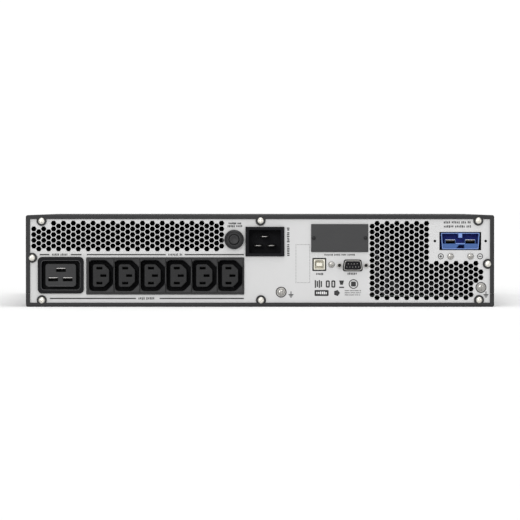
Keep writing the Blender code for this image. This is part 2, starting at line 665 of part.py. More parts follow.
def make_front_controls(window_mat, button_mat, menu_mat):
    """The display's window and four sprung buttons, each with a collar behind the bezel."""
    prism("display_window", [rectangle(*DISPLAY_AT, *DISPLAY_SIZE)],
          FRONT_Y - 1.5 * MM + GAP, FRONT_Y - GAP, window_mat)
    make_button("power_button", POWER_BUTTON_AT, POWER_BUTTON_RADIUS, button_mat)
    for name, at in MENU_BUTTONS.items():
        make_button(name, at, MENU_BUTTON_RADIUS, menu_mat)


def make_button(name, at, radius, mat):
    """A round cap level with the bezel's face, kept in by a collar behind the bezel's wall."""
    collar = -BEZEL_WALL - GAP
    profile = [
        (0, -0.2 * MM), (radius - 0.6 * MM, -0.2 * MM), (radius, -0.8 * MM), (radius, collar),
        (radius + 1.2 * MM, collar), (radius + 1.2 * MM, collar - 1.5 * MM), (0, collar - 1.5 * MM),
    ]
    turned(name, profile, (at[0], FRONT_Y, at[1]), mat, facing="front", steps=20)


def make_ears(ear_mat, screw_mat):
    """Two angle brackets whose front plates meet the rack's rails."""
    low, high = EAR_MARGIN_Z, CASE_HEIGHT - EAR_MARGIN_Z
    for name, side in (("left", -1), ("right", 1)):
        near = side * (CASE_WIDTH / 2 + GAP)
        leg = sorted((near, near + side * EAR_SHEET))
        plate_middle = (near + side * RACK_WIDTH / 2) / 2
        plate_width = abs(side * RACK_WIDTH / 2 - near)
        slots = [rounded_rectangle(side * EAR_HOLE_X, z, 10 * MM, 7 * MM, 3.49 * MM, 4) for z in EAR_HOLE_Z]
        plate = rectangle(plate_middle, CASE_HEIGHT / 2, plate_width, high - low)
        ear = prism(f"rack_ear_{name}", [plate, *slots], CASE_FRONT_Y - EAR_SHEET, CASE_FRONT_Y, ear_mat)
        join(ear, box(f"ear_leg_{name}", (leg[0], CASE_FRONT_Y - EAR_LEG, low),
                      (leg[1], CASE_FRONT_Y - EAR_SHEET / 2, high)))
        cut(ear, *ear_screw_holes(f"ear_{name}"))
        profile = screw_profile(4 * MM, 2.2 * MM, 1.8 * MM, 8 * MM)
        for level, z in zip(("lower", "upper"), EAR_SCREWS_Z):
            place = (near + side * (EAR_SHEET + GAP), EAR_SCREW_Y, z)
            turned(f"ear_screw_{name}_{level}", profile, place, screw_mat, facing=name, steps=12)


# ---- Inside the case ----

def make_fan_wall(mat):
    """An upright sheet across the case with an opening for each fan."""
    half = CASE_WIDTH / 2 - 2 * SHEET - 4 * GAP
    outline = rectangle(0, CASE_HEIGHT / 2, 2 * half, CASE_HEIGHT - 2 * SHEET - 4 * GAP)
    openings = [circle(x, FAN_Z, FAN_OPENING, 24) for x in FAN_X.values()]
    prism("fan_wall", [outline, *openings], FAN_WALL_Y, FAN_WALL_Y + SHEET, mat)


def make_fan(name, x, frame_mat, rotor_mat):
    """A fan: a square frame with a struted hub and an axle, and a rotor that turns on the axle."""
    back, front = FAN_WALL_Y - GAP - FAN_DEPTH, FAN_WALL_Y - GAP
    frame = prism(f"fan_frame_{name}",
                  [rounded_rectangle(x, FAN_Z, FAN_SIZE, FAN_SIZE, 3.5 * MM), circle(x, FAN_Z, FAN_OPENING, 32)],
                  back, front, frame_mat)
    struts = prism(f"fan_struts_{name}", [cross(x, FAN_Z, FAN_OPENING + 1 * MM, 2 * MM)],
                   back + 0.4 * MM, back + 3 * MM)
    hub = [(0, 20 * MM), (AXLE_RADIUS, 20 * MM), (AXLE_RADIUS, 4 * MM), (HUB_RADIUS, 4 * MM),
           (HUB_RADIUS, 0.2 * MM), (0, 0.2 * MM)]
    join(frame, struts, turned(f"fan_hub_{name}", hub, (x, back, FAN_Z), facing="front", steps=24))
    bore = AXLE_RADIUS + GAP
    cup = [(0, 22.5 * MM), (HUB_RADIUS - 1 * MM, 22.5 * MM), (HUB_RADIUS, 21.5 * MM), (HUB_RADIUS, 4.5 * MM),
           (bore, 4.5 * MM), (bore, 20.5 * MM), (0, 20.5 * MM)]
    rotor = turned(f"fan_rotor_{name}", cup, (x, back, FAN_Z), rotor_mat, facing="front", steps=24)
    join(rotor, fan_blades(f"fan_blades_{name}", (x, back + 13.5 * MM, FAN_Z)))


def fan_blades(name, place):
    """Seven pitched blades around the hub, as one cutter of separate bodies."""
    inner, outer, chord, thick = HUB_RADIUS - 1.5 * MM, 36.5 * MM, 17 * MM, 1.4 * MM
    solid = bmesh.new()
    for blade in range(FAN_BLADES):
        made = bmesh.ops.create_cube(solid, size=1)["verts"]
        bmesh.ops.scale(solid, vec=(outer - inner, thick, chord), verts=made)
        bmesh.ops.translate(solid, vec=((outer + inner) / 2, 0, 0), verts=made)
        pitch = Matrix.Rotation(math.radians(48), 3, "X")
        turn = Matrix.Rotation(2 * math.pi * blade / FAN_BLADES, 3, "Y")
        bmesh.ops.rotate(solid, cent=(0, 0, 0), matrix=turn @ pitch, verts=made)
    mesh = bpy.data.meshes.new(name)
    solid.to_mesh(mesh)
    solid.free()
    return add_object(name, mesh, matrix=Matrix.Translation(place))


def make_boards(mat):
    """The power board on its bosses, and the small board behind the data and serial ports."""
    box("power_board", (-BOARD_X, BOARD_BACK_Y, BOARD_Z), (BOARD_X, BOARD_FRONT_Y, BOARD_Z + BOARD_SHEET), mat)
    box("port_board", (44 * MM, PANEL_BACK_Y + 3 * MM, 30.4 * MM), (104 * MM, PANEL_BACK_Y + 70 * MM, 32 * MM), mat)


def make_heatsink(mat):
    """A comb of fins on a base, with the fins along the air's path."""
    fins, pitch, fin = 10, 9 * MM, 2.5 * MM
    left, base, top = 40 * MM, BOARD_TOP + 6 * MM, BOARD_TOP + 58 * MM
    outline = [(left, BOARD_TOP)]
    right = left + (fins - 1) * pitch + fin
    outline.append((right, BOARD_TOP))
    for index in reversed(range(fins)):
        x = left + index * pitch
        outline += [(x + fin, top), (x, top)]
        if index:
            outline += [(x, base), (x - pitch + fin, base)]
    prism("heatsink", [outline], PANEL_BACK_Y + 90 * MM, BOARD_FRONT_Y - 20 * MM, mat)


def make_power_parts(can_mat, winding_mat):
    """Two tall capacitors and the filter choke's ring."""
    for name, x in (("left", -40 * MM), ("right", -4 * MM)):
        radius, height = 15 * MM, 52 * MM
        profile = [(0, height), (radius - 2 * MM, height), (radius, height - 2 * MM), (radius, 0), (0, 0)]
        turned(f"capacitor_{name}", profile, (x, 40 * MM, BOARD_TOP), can_mat, facing="up", steps=20)
    middle, ring = 24 * MM, 11 * MM
    turns = [math.pi / 2 - 2 * math.pi * i / 12 for i in range(13)]
    profile = [(middle + ring * math.cos(a), ring + ring * math.sin(a)) for a in turns]
    turned("filter_choke", profile, (-120 * MM, -20 * MM, BOARD_TOP), winding_mat, facing="up", steps=24)


def main():
    case = material("case_paint", (0.045, 0.047, 0.05), 0.5)
    panel = material("panel_paint", (0.68, 0.68, 0.68), 0.5)
    black = material("black_plastic", (0.012, 0.012, 0.014), 0.4)
    grey = material("grey_plastic", (0.035, 0.035, 0.037), 0.5)
    zinc = material("zinc_plate", (0.75, 0.73, 0.66), 0.3, 1.0)
    steel = material("steel_plate", (0.6, 0.6, 0.6), 0.35, 1.0)
    brass = material("brass", (0.75, 0.6, 0.35), 0.3, 1.0)
    blue = material("blue_plastic", (0.03, 0.09, 0.45), 0.45)
    cream = material("cream_plastic", (0.75, 0.73, 0.6), 0.5)
    board = material("circuit_board", (0.02, 0.14, 0.05), 0.5)
    alloy = material("aluminium", (0.7, 0.7, 0.72), 0.4, 1.0)
    copper = material("copper_wire", (0.6, 0.25, 0.1), 0.4, 1.0)
    glass = material("display_glass", (0.01, 0.02, 0.03), 0.1)

    make_top_cover(case)
    make_base_tray(case)
    make_rear_panel(panel)
    make_case_screws(zinc)
    make_large_outlet(black)
    make_outlet_block(grey)
    make_inlet(black, zinc)
    make_breaker(grey, grey)
    make_slot_cover(case, black)
    make_data_port(steel, cream, zinc)
    make_serial_port(steel, black, zinc)
    make_battery_connector(blue, brass)
    make_panel_screws(zinc)
    make_bezel(grey)
    make_front_controls(glass, grey, black)
    make_ears(case, zinc)
    make_fan_wall(steel)
    for name, x in FAN_X.items():
        make_fan(name, x, black, black)
    make_boards(board)
    make_heatsink(alloy)
    make_power_parts(black, copper)


clear_scene()
parts = new_collection("rackmount_ups")
cutters = new_collection("cutters")
main()
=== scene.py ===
"""The finished look of a two-unit rack UPS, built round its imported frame.

Each operator makes one group of pieces in place, and main() calls them in order.
The rear panel faces -Y, the bezel faces +Y and the object rests on Z = 0.
Shapes are worked out in millimetres, and piece() brings them to metres.
"""
import math
import random

import bmesh
import bpy
from bpy.props import FloatProperty, FloatVectorProperty, IntProperty, PointerProperty
from mathutils import Matrix, Vector
from mathutils.geometry import tessellate_polygon


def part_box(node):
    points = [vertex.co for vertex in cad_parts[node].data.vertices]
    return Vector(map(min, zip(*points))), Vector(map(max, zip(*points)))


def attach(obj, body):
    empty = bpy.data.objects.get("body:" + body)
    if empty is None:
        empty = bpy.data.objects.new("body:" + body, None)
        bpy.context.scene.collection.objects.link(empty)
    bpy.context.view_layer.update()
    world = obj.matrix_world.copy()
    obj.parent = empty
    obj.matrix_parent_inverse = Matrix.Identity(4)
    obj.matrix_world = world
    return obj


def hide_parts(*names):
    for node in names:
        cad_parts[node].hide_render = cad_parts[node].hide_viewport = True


bl_info = {
    "name": "Rack UPS",
    "version": (1, 0, 0),
    "blender": (4, 5, 0),
    "location": "3D View > Sidebar > Rack UPS",
    "description": "Builds the cases, sockets, vents and controls of a rack-mounted UPS",
    "category": "Object",
}

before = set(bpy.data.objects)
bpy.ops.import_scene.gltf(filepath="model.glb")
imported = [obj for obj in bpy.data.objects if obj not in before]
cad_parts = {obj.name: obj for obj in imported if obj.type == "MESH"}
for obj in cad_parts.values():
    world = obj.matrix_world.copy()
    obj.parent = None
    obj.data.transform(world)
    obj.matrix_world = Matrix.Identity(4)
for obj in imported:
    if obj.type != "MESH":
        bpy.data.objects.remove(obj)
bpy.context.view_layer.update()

MM = 0.001


def box(node):
    """A CAD node's lowest and highest corners."""
    return [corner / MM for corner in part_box(node)]


def middle(node):
    """The X and Z of a CAD node's centre."""
    low, high = box(node)
    return (low.x + high.x) / 2, (low.z + high.z) / 2


def extent(node):
    """A CAD node's size along X and Z."""
    low, high = box(node)
    return high.x - low.x, high.z - low.z


# Planes along Y and the case's size, from the frame.
RIM_Y, CASE_FRONT_Y = (corner.y for corner in box("top_cover"))
SEAM_TOP, CASE_HEIGHT = (corner.z for corner in box("top_cover"))
CASE_HALF = box("top_cover")[1].x
PANEL_Y, PANEL_BACK_Y = (corner.y for corner in box("rear_panel"))
BEZEL_BACK_Y, FRONT_Y = (corner.y for corner in box("front_bezel"))
SHEET = 1.2
SEAM_GAP = 0.3
# Points that are closer than this become one.
MERGE_DISTANCE = 1e-3


# ---- Sizes and colours that a user would change ----

def length_slider(label, description, default):
    """A length in the sidebar, given in millimetres and kept in metres."""
    return FloatProperty(name=label, description=description, default=default * MM, unit="LENGTH")


def colour_box(label, description, default):
    return FloatVectorProperty(name=label, description=description, default=default,
                               subtype="COLOR", min=0, max=1)


class UpsSizes(bpy.types.PropertyGroup):
    """Sizes of the details, in metres"""

    hole_size: length_slider("Vent hole", "Vent hole, across its flats", 4.65)
    hole_pitch_x: length_slider("Column pitch", "From one column of holes to the next", 4.62)
    hole_pitch_z: length_slider("Row pitch", "From one hole to the one below it", 5.335)
    rim_side: length_slider("Rim, sides", "Width of the case's rim at the sides", 4)
    rim_top: length_slider("Rim, top", "Width of the case's rim at the top", 3.8)
    rim_bottom: length_slider("Rim, bottom", "Width of the case's rim at the bottom", 3.9)
    tab_radius: length_slider("Screw tab", "Radius of the rim's tab under a screw", 4.7)
    ink_height: length_slider("Ink", "How far the print stands proud of the paint", 0.05)
    blades: IntProperty(
        name="Fan blades", description="Blades on each fan's rotor", default=7, min=3, max=12)
    seed: IntProperty(
        name="Seed", description="Fixes how the screws happen to be turned", default=4, min=0)


class UpsColours(bpy.types.PropertyGroup):
    """Colours of the paints and plastics"""

    case_paint: colour_box("Case paint", "The sleeve and the ears", (0.0135, 0.0135, 0.0145))
    # The case paint drawn lighter on the slot cover's flat face: painted highlight.
    cover_paint: colour_box("Slot cover", "The blanking plate's paint", (0.03, 0.03, 0.031))
    panel_paint: colour_box("Panel paint", "The rear panel", (0.505, 0.505, 0.505))
    black_plastic: colour_box(
        "Black plastic", "The large outlet, inlet and fans", (0.0055, 0.0055, 0.007))
    grey_plastic: colour_box(
        "Dark grey plastic", "The small outlets and the breaker", (0.0155, 0.0155, 0.0165))
    bezel_plastic: colour_box("Bezel plastic", "The moulded front", (0.02, 0.02, 0.022))
    blue_plastic: colour_box("Blue plastic", "The battery connector", (0.019, 0.073, 0.235))
    ink: colour_box("Ink", "The print on the rear panel", (0.02, 0.02, 0.02))


def sizes():
    return bpy.context.scene.ups_sizes


def length(name):
    """One of the sizes, in millimetres."""
    return getattr(sizes(), name) / MM


def colours():
    return bpy.context.scene.ups_colours


# ---- Outlines: lists of (x, z) points ----

def circle(x, z, radius, sides=32):
    turns = [2 * math.pi * i / sides for i in range(sides)]
    return [(x + radius * math.cos(a), z + radius * math.sin(a)) for a in turns]


def rectangle(x, z, width, height):
    return [(x + side * width / 2, z + end * height / 2)
            for side, end in ((-1, -1), (1, -1), (1, 1), (-1, 1))]


def trapezoid(x, z, top_width, bottom_width, height):
    return [(x - bottom_width / 2, z - height / 2), (x + bottom_width / 2, z - height / 2),
            (x + top_width / 2, z + height / 2), (x - top_width / 2, z + height / 2)]


def rounded(corners, radii, steps=4):
    """An outline with each corner rounded to its radius, or all of them to one."""
    radii = radii if hasattr(radii, "__len__") else [radii] * len(corners)
    points = []
    for index, radius in enumerate(radii):
        here = Vector(corners[index])
        before = (Vector(corners[index - 1]) - here).normalized()
        after = (Vector(corners[(index + 1) % len(corners)]) - here).normalized()
        if radius <= 0:
            points.append(tuple(here))
            continue
        half = before.angle(after) / 2
        centre = here + (before + after).normalized() * (radius / math.sin(half))
        start = here + before * (radius / math.tan(half)) - centre
        end = here + after * (radius / math.tan(half)) - centre
        first = math.atan2(start.y, start.x)
        sweep = (math.atan2(end.y, end.x) - first + math.pi) % (2 * math.pi) - math.pi
        for step in range(steps + 1):
            angle = first + sweep * step / steps
            points.append((centre.x + radius * math.cos(angle), centre.y + radius * math.sin(angle)))
    return points


def rounded_rectangle(x, z, width, height, radius, steps=5):
    return rounded(rectangle(x, z, width, height), radius, steps)


def chamfered_right(x, z, width, height, chamfer, left_radius, right_radius):
    """An outlet's outline turned on its side, with its two chamfers on the right."""
    left, right = x - width / 2, x + width / 2
    low, high = z - height / 2, z + height / 2
    corners = [(left, low), (right - chamfer, low), (right, low + chamfer),
               (right, high - chamfer), (right - chamfer, high), (left, high)]
    return rounded(corners, [left_radius, *[right_radius] * 4, left_radius])


def cross(x, z, reach, half):
    """A plus sign of four equal arms."""
    points = []
    for quarter in range(4):
        along = (round(math.cos(math.pi / 2 * quarter)), round(math.sin(math.pi / 2 * quarter)))
        across = (-along[1], along[0])
        for out, side in ((reach, -half), (reach, half), (half, half)):
            points.append((x + along[0] * out + across[0] * side,
                           z + along[1] * out + across[1] * side))
    return points


def offset(points, distance):
    """An anticlockwise outline moved outwards, with its corners kept."""
    if not distance:
        return points
    moved = []
    for index, point in enumerate(points):
        here = Vector(point)
        first = (here - Vector(points[index - 1])).normalized()
        second = (Vector(points[(index + 1) % len(points)]) - here).normalized()
        bisector = Vector((first.y + second.y, -first.x - second.x))
        moved.append(tuple(here + bisector * (distance / (1 + first.dot(second)))))
    return moved


def anticlockwise(points):
    area = sum(a[0] * b[1] - b[0] * a[1] for a, b in zip(points, points[1:] + points[:1]))
    return points if area > 0 else points[::-1]


# ---- Solids: closed meshes ----

def lofted(outlines, levels):
    """Flat outlines in X and Z, the later ones holes, stacked through levels along Y.

    A level is (y, inset, widening): the first outline shrinks and the holes grow by those.
    """
    solid = bmesh.new()
    stacks = []
    for index, outline in enumerate(outlines):
        points = anticlockwise(outline)
        rings = []
        for y, inset, widening in levels:
            shifted = offset(points, widening if index else -inset)
            rings.append([solid.verts.new((x, y, z)) for x, z in shifted])
        stacks.append(rings)
        for lower, upper in zip(rings, rings[1:]):
            for i in range(len(lower)):
                solid.faces.new((lower[i - 1], lower[i], upper[i], upper[i - 1]))
    for end in (0, -1):
        corners = [vert for rings in stacks for vert in rings[end]]
        flat = [[Vector((vert.co.x, vert.co.z, 0)) for vert in rings[end]] for rings in stacks]
        for triangle in tessellate_polygon(flat):
            solid.faces.new([corners[i] for i in triangle])
    bmesh.ops.recalc_face_normals(solid, faces=solid.faces)
    return solid


def plate(outlines, back, front, back_edge=0.0, front_edge=0.0, steps=3):
    """A plate between two planes with rounded edges: one radius, or one outside and one in holes."""
    ends = []
    for face, edge, inwards in ((back, back_edge, 1), (front, front_edge, -1)):
        outside, in_holes = edge if hasattr(edge, "__len__") else (edge, edge)
        reach = inwards * max(outside, in_holes)
        levels = []
        if reach:
            for step in range(steps):
                angle = math.pi / 2 * step / steps
                inset = 1 - math.sin(angle)
                levels.append((face + reach * (1 - math.cos(angle)), outside * inset, in_holes * inset))
        ends.append([*levels, (face + reach, 0, 0)])
    return lofted(outlines, ends[0] + ends[1][::-1])


def block(low, high, edge=0.0):
    """A box between two corners with all its edges rounded."""
    centre = ((low[0] + high[0]) / 2, (low[2] + high[2]) / 2)
    outline = rectangle(*centre, high[0] - low[0], high[2] - low[2])
    if edge:
        outline = rounded(outline, edge, 3)
    return plate([outline], low[1], high[1], edge, edge)


FACINGS = {
    "rear": Matrix.Rotation(math.pi / 2, 4, "X"),
    "front": Matrix.Rotation(-math.pi / 2, 4, "X"),
    "up": Matrix.Identity(4),
}


def turned(profile, place, facing="rear", steps=40, ring=False):
    """(radius, height) pairs turned about an axis. A ring's profile closes on itself."""
    solid = bmesh.new()
    rings = []
    for radius, height in profile:
        if radius:
            turns = [2 * math.pi * i / steps for i in range(steps)]
            rings.append([solid.verts.new((radius * math.cos(a), radius * math.sin(a), height))
                          for a in turns])
        else:
            rings.append([solid.verts.new((0, 0, height))])
    pairs = list(zip(rings, rings[1:]))
    if ring:
        pairs.append((rings[-1], rings[0]))
    for upper, lower in pairs:
        for i in range(steps):
            corners = [upper[i - 1] if len(upper) > 1 else upper[0]]
            if len(upper) > 1:
                corners.append(upper[i])
            corners.append(lower[i] if len(lower) > 1 else lower[0])
            if len(lower) > 1:
                corners.append(lower[i - 1])
            solid.faces.new(corners)
    bmesh.ops.recalc_face_normals(solid, faces=solid.faces)
    bmesh.ops.transform(solid, matrix=Matrix.Translation(place) @ FACINGS[facing], verts=solid.verts)
    return solid


def cut_at(solid, height, keep_above):
    """The part of a solid above or below a height, closed where it was cut."""
    everything = [*solid.verts, *solid.edges, *solid.faces]
    bmesh.ops.bisect_plane(solid, geom=everything, dist=1e-4,
                           plane_co=(0, 0, height), plane_no=(0, 0, 1),
                           clear_inner=keep_above, clear_outer=not keep_above)
    open_edges = [edge for edge in solid.edges if edge.is_boundary]
    bmesh.ops.edgeloop_fill(solid, edges=open_edges)
    bmesh.ops.recalc_face_normals(solid, faces=solid.faces)
    return solid


def carved(solid, cutter):
    """A solid with another taken away from it."""
    target, tool = loose_object("carving", solid), loose_object("cutter", cutter)
    modifier = target.modifiers.new("carve", "BOOLEAN")
    modifier.operation = "DIFFERENCE"
    modifier.solver = "EXACT"
    modifier.object = tool
    mesh = plain_mesh(target)
    for spare in (target, tool):
        bpy.data.objects.remove(spare, do_unlink=True)
    return opened(mesh)


def loose_object(name, solid):
    """A working object from a solid. It never reaches the finished model."""
    mesh = bpy.data.meshes.new(name)
    solid.to_mesh(mesh)
    solid.free()
    obj = bpy.data.objects.new(name, mesh)
    bpy.context.scene.collection.objects.link(obj)
    return obj


def plain_mesh(obj):
    """An object's mesh with its modifiers applied."""
    bpy.context.view_layer.update()
    graph = bpy.context.evaluated_depsgraph_get()
    return bpy.data.meshes.new_from_object(obj.evaluated_get(graph), depsgraph=graph)


def opened(mesh):
    """A mesh as a solid again, with its doubles merged."""
    solid = bmesh.new()
    solid.from_mesh(mesh)
    bmesh.ops.remove_doubles(solid, verts=solid.verts, dist=MERGE_DISTANCE)
    bmesh.ops.recalc_face_normals(solid, faces=solid.faces)
    return solid


def piece(name, parts, stands_for, body="case", smooth_angle=35):
    """One finished object from (finish, solids) pairs, in place of the CAD nodes that it stands for."""
    mesh = bpy.data.meshes.new(name)
    joined = bmesh.new()
    for index, (look, solids) in enumerate(parts):
        mesh.materials.append(finish(look))
        for solid in solids:
            for face in solid.faces:
                face.material_index = index
            shell = bpy.data.meshes.new("shell")
            solid.to_mesh(shell)
            solid.free()
            joined.from_mesh(shell)
            bpy.data.meshes.remove(shell)
    bmesh.ops.scale(joined, vec=(MM, MM, MM), verts=joined.verts)
    joined.to_mesh(mesh)
    joined.free()
    mesh.shade_smooth()
    mesh.set_sharp_from_angle(angle=math.radians(smooth_angle))
    obj = bpy.data.objects.new(name, mesh)
    bpy.context.scene.collection.objects.link(obj)
    shading = obj.modifiers.new("even_shading", "WEIGHTED_NORMAL")
    shading.keep_sharp = True
    shading.weight = 100
    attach(obj, body)
    if stands_for:
        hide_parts(*stands_for)


# ---- Geometry Nodes ----

class Recipe:
    """A Geometry Nodes tree that is run once and leaves a plain mesh."""

    def __init__(self, name):
        self.name = name
        self.tree = bpy.data.node_groups.new(name, "GeometryNodeTree")
        self.tree.interface.new_socket("Geometry", in_out="INPUT", socket_type="NodeSocketGeometry")
        self.tree.interface.new_socket("Geometry", in_out="OUTPUT", socket_type="NodeSocketGeometry")
        self.start = self.tree.nodes.new("NodeGroupInput")
        self.end = self.tree.nodes.new("NodeGroupOutput")
        self.values = {}

    def value(self, name, kind, value):
        """A named input of the tree and what this run gives it."""
        socket = self.tree.interface.new_socket(name, in_out="INPUT", socket_type=f"NodeSocket{kind}")
        self.values[socket.identifier] = value
        return self.start.outputs[name]

    def node(self, kind, settings, sockets, output=0):
        """A node with its settings, then its sockets' values or links. Gives one of its outputs."""
        made = self.tree.nodes.new(kind)
        for name, value in settings.items():
            setattr(made, name, value)
        for name, value in sockets.items():
            for source in value if isinstance(value, list) else [value]:
                if isinstance(source, bpy.types.NodeSocket):
                    self.tree.links.new(source, made.inputs[name])
                else:
                    made.inputs[name].default_value = source
        return made.outputs[output]

    def run(self, geometry, mesh, look):
        """Ends the tree, runs it on a mesh and gives the result as a solid."""
        real = self.node("GeometryNodeRealizeInstances", {}, {"Geometry": geometry})
        material = self.value("Finish", "Material", finish(look))
        dressed = self.node("GeometryNodeSetMaterial", {}, {"Geometry": real, "Material": material})
        self.tree.links.new(dressed, self.end.inputs["Geometry"])
        carrier = bpy.data.objects.new(self.name, mesh)
        bpy.context.scene.collection.objects.link(carrier)
        modifier = carrier.modifiers.new(self.name, "NODES")
        modifier.node_group = self.tree
        for identifier, value in self.values.items():
            modifier[identifier] = value
        made = plain_mesh(carrier)
        bpy.data.objects.remove(carrier, do_unlink=True)
        return opened(made)


def points_mesh(places, loops=()):
    """A mesh of single points, and of closed loops of edges."""
    mesh = bpy.data.meshes.new("places")
    verts = [tuple(place) for place in places]
    edges = []
    for loop in loops:
        start = len(verts)
        verts += [tuple(point) for point in loop]
        edges += [(start + i, start + (i + 1) % len(loop)) for i in range(len(loop))]
    mesh.from_pydata(verts, edges, [])
    return mesh


def perforated(outlines, holes, back, front, hole_size, look):
    """A sheet with openings and hexagonal holes, which stand on a corner left and right."""
    recipe = Recipe("perforated_sheet")
    across = recipe.value("Hole Size", "Float", hole_size)
    thickness = recipe.value("Thickness", "Float", front - back)
    plane = recipe.value("Outer Face", "Float", back)
    source = recipe.start.outputs["Geometry"]
    edges = recipe.node("GeometryNodeMeshToCurve", {}, {"Mesh": source})
    neighbours = recipe.node("GeometryNodeInputMeshVertexNeighbors", {}, {})
    alone = recipe.node("FunctionNodeCompare", {"data_type": "INT", "operation": "EQUAL"},
                        {2: neighbours, 3: 0})
    centres = recipe.node("GeometryNodeMeshToPoints", {}, {"Mesh": source, "Selection": alone})
    corner = recipe.node("ShaderNodeMath", {"operation": "DIVIDE"}, {0: across, 1: math.sqrt(3)})
    hexagon = recipe.node("GeometryNodeCurvePrimitiveCircle", {}, {"Resolution": 6, "Radius": corner})
    placed = recipe.node("GeometryNodeInstanceOnPoints", {}, {"Points": centres, "Instance": hexagon})
    flat = recipe.node("GeometryNodeRealizeInstances", {}, {"Geometry": placed})
    joined = recipe.node("GeometryNodeJoinGeometry", {}, {"Geometry": [edges, flat]})
    filled = recipe.node("GeometryNodeFillCurve", {}, {"Curve": joined})
    raised = recipe.node("GeometryNodeExtrudeMesh", {"mode": "FACES"},
                         {"Mesh": filled, "Offset Scale": thickness, "Individual": False})
    turned_over = recipe.node("GeometryNodeFlipFaces", {}, {"Mesh": filled})
    both = recipe.node("GeometryNodeJoinGeometry", {}, {"Geometry": [raised, turned_over]})
    closed = recipe.node("GeometryNodeMergeByDistance", {},
                         {"Geometry": both, "Distance": MERGE_DISTANCE})
    shift = recipe.node("ShaderNodeCombineXYZ", {}, {"Y": plane})
    upright = recipe.node("GeometryNodeTransform", {}, {
        "Geometry": closed, "Translation": shift, "Rotation": (math.pi / 2, 0, 0)})
    loops = [[(x, z, 0) for x, z in outline] for outline in outlines]
    solid = recipe.run(upright, points_mesh([(x, z, 0) for x, z in holes], loops), look)
    highest = max(vert.co.y for vert in solid.verts)
    bmesh.ops.translate(solid, vec=(0, front - highest, 0), verts=solid.verts)
    return solid


def repeated(name, pattern, places, look, turn=(0, 0, 0), step=(0, 0, 0),
             spin=0.0, seed=0, sway=(1, 1, 1)):
    """One solid set down at each place: turned, each a step further than the one before.

    Chance spins each about its own Y by up to spin, and scales it by no less than sway.
    """
    original = loose_object(f"{name}_pattern", pattern)
    recipe = Recipe(name)
    shape = recipe.value("Pattern", "Object", original)
    turning = recipe.value("Turn", "Vector", turn)
    growing = recipe.value("Step", "Vector", step)
    most = recipe.value("Spin", "Float", spin)
    chance = recipe.value("Seed", "Int", seed)
    least = recipe.value("Least Scale", "Vector", sway)
    look_up = recipe.node("GeometryNodeObjectInfo", {},
                          {"Object": shape, "As Instance": True}, "Geometry")
    angle = recipe.node("FunctionNodeRandomValue", {"data_type": "FLOAT"},
                        {"Min": 0.0, "Max": most, "Seed": chance}, 1)
    about = recipe.node("ShaderNodeCombineXYZ", {}, {"Y": angle})
    scale = recipe.node("FunctionNodeRandomValue", {"data_type": "FLOAT_VECTOR"},
                        {"Min": least, "Max": (1, 1, 1), "Seed": chance})
    points = recipe.node("GeometryNodeMeshToPoints", {}, {"Mesh": recipe.start.outputs["Geometry"]})
    index = recipe.node("GeometryNodeInputIndex", {}, {})
    stepped = recipe.node("ShaderNodeVectorMath", {"operation": "SCALE"}, {0: growing, "Scale": index})
    summed = recipe.node("ShaderNodeVectorMath", {"operation": "ADD"}, {0: about, 1: stepped})
    own = recipe.node("FunctionNodeEulerToRotation", {}, {"Euler": summed})
    facing = recipe.node("FunctionNodeEulerToRotation", {}, {"Euler": turning})
    both = recipe.node("FunctionNodeRotateRotation", {"rotation_space": "LOCAL"},
                       {"Rotation": facing, "Rotate By": own})
    placed = recipe.node("GeometryNodeInstanceOnPoints", {}, {
        "Points": points, "Instance": look_up, "Rotation": both, "Scale": scale})
    solid = recipe.run(placed, points_mesh(places), look)
    bpy.data.objects.remove(original, do_unlink=True)
    return solid


# ---- Finishes ----

class Value:
    """A shader socket that takes part in sums like a number."""

    def __init__(self, look, socket):
        self.look = look
        self.socket = socket

    def math(self, operation, first, second):
        return self.look.node("ShaderNodeMath", {"operation": operation}, {0: first, 1: second})

    def __add__(self, other):
        return self.math("ADD", self, other)

    __radd__ = __add__

    def __sub__(self, other):
        return self.math("SUBTRACT", self, other)

    def __rsub__(self, other):
        return self.math("SUBTRACT", other, self)

    def __mul__(self, other):
        return self.math("MULTIPLY", self, other)

    __rmul__ = __mul__

    def __gt__(self, other):
        return self.math("GREATER_THAN", self, other)

    def __mod__(self, other):
        return self.math("FLOORED_MODULO", self, other)


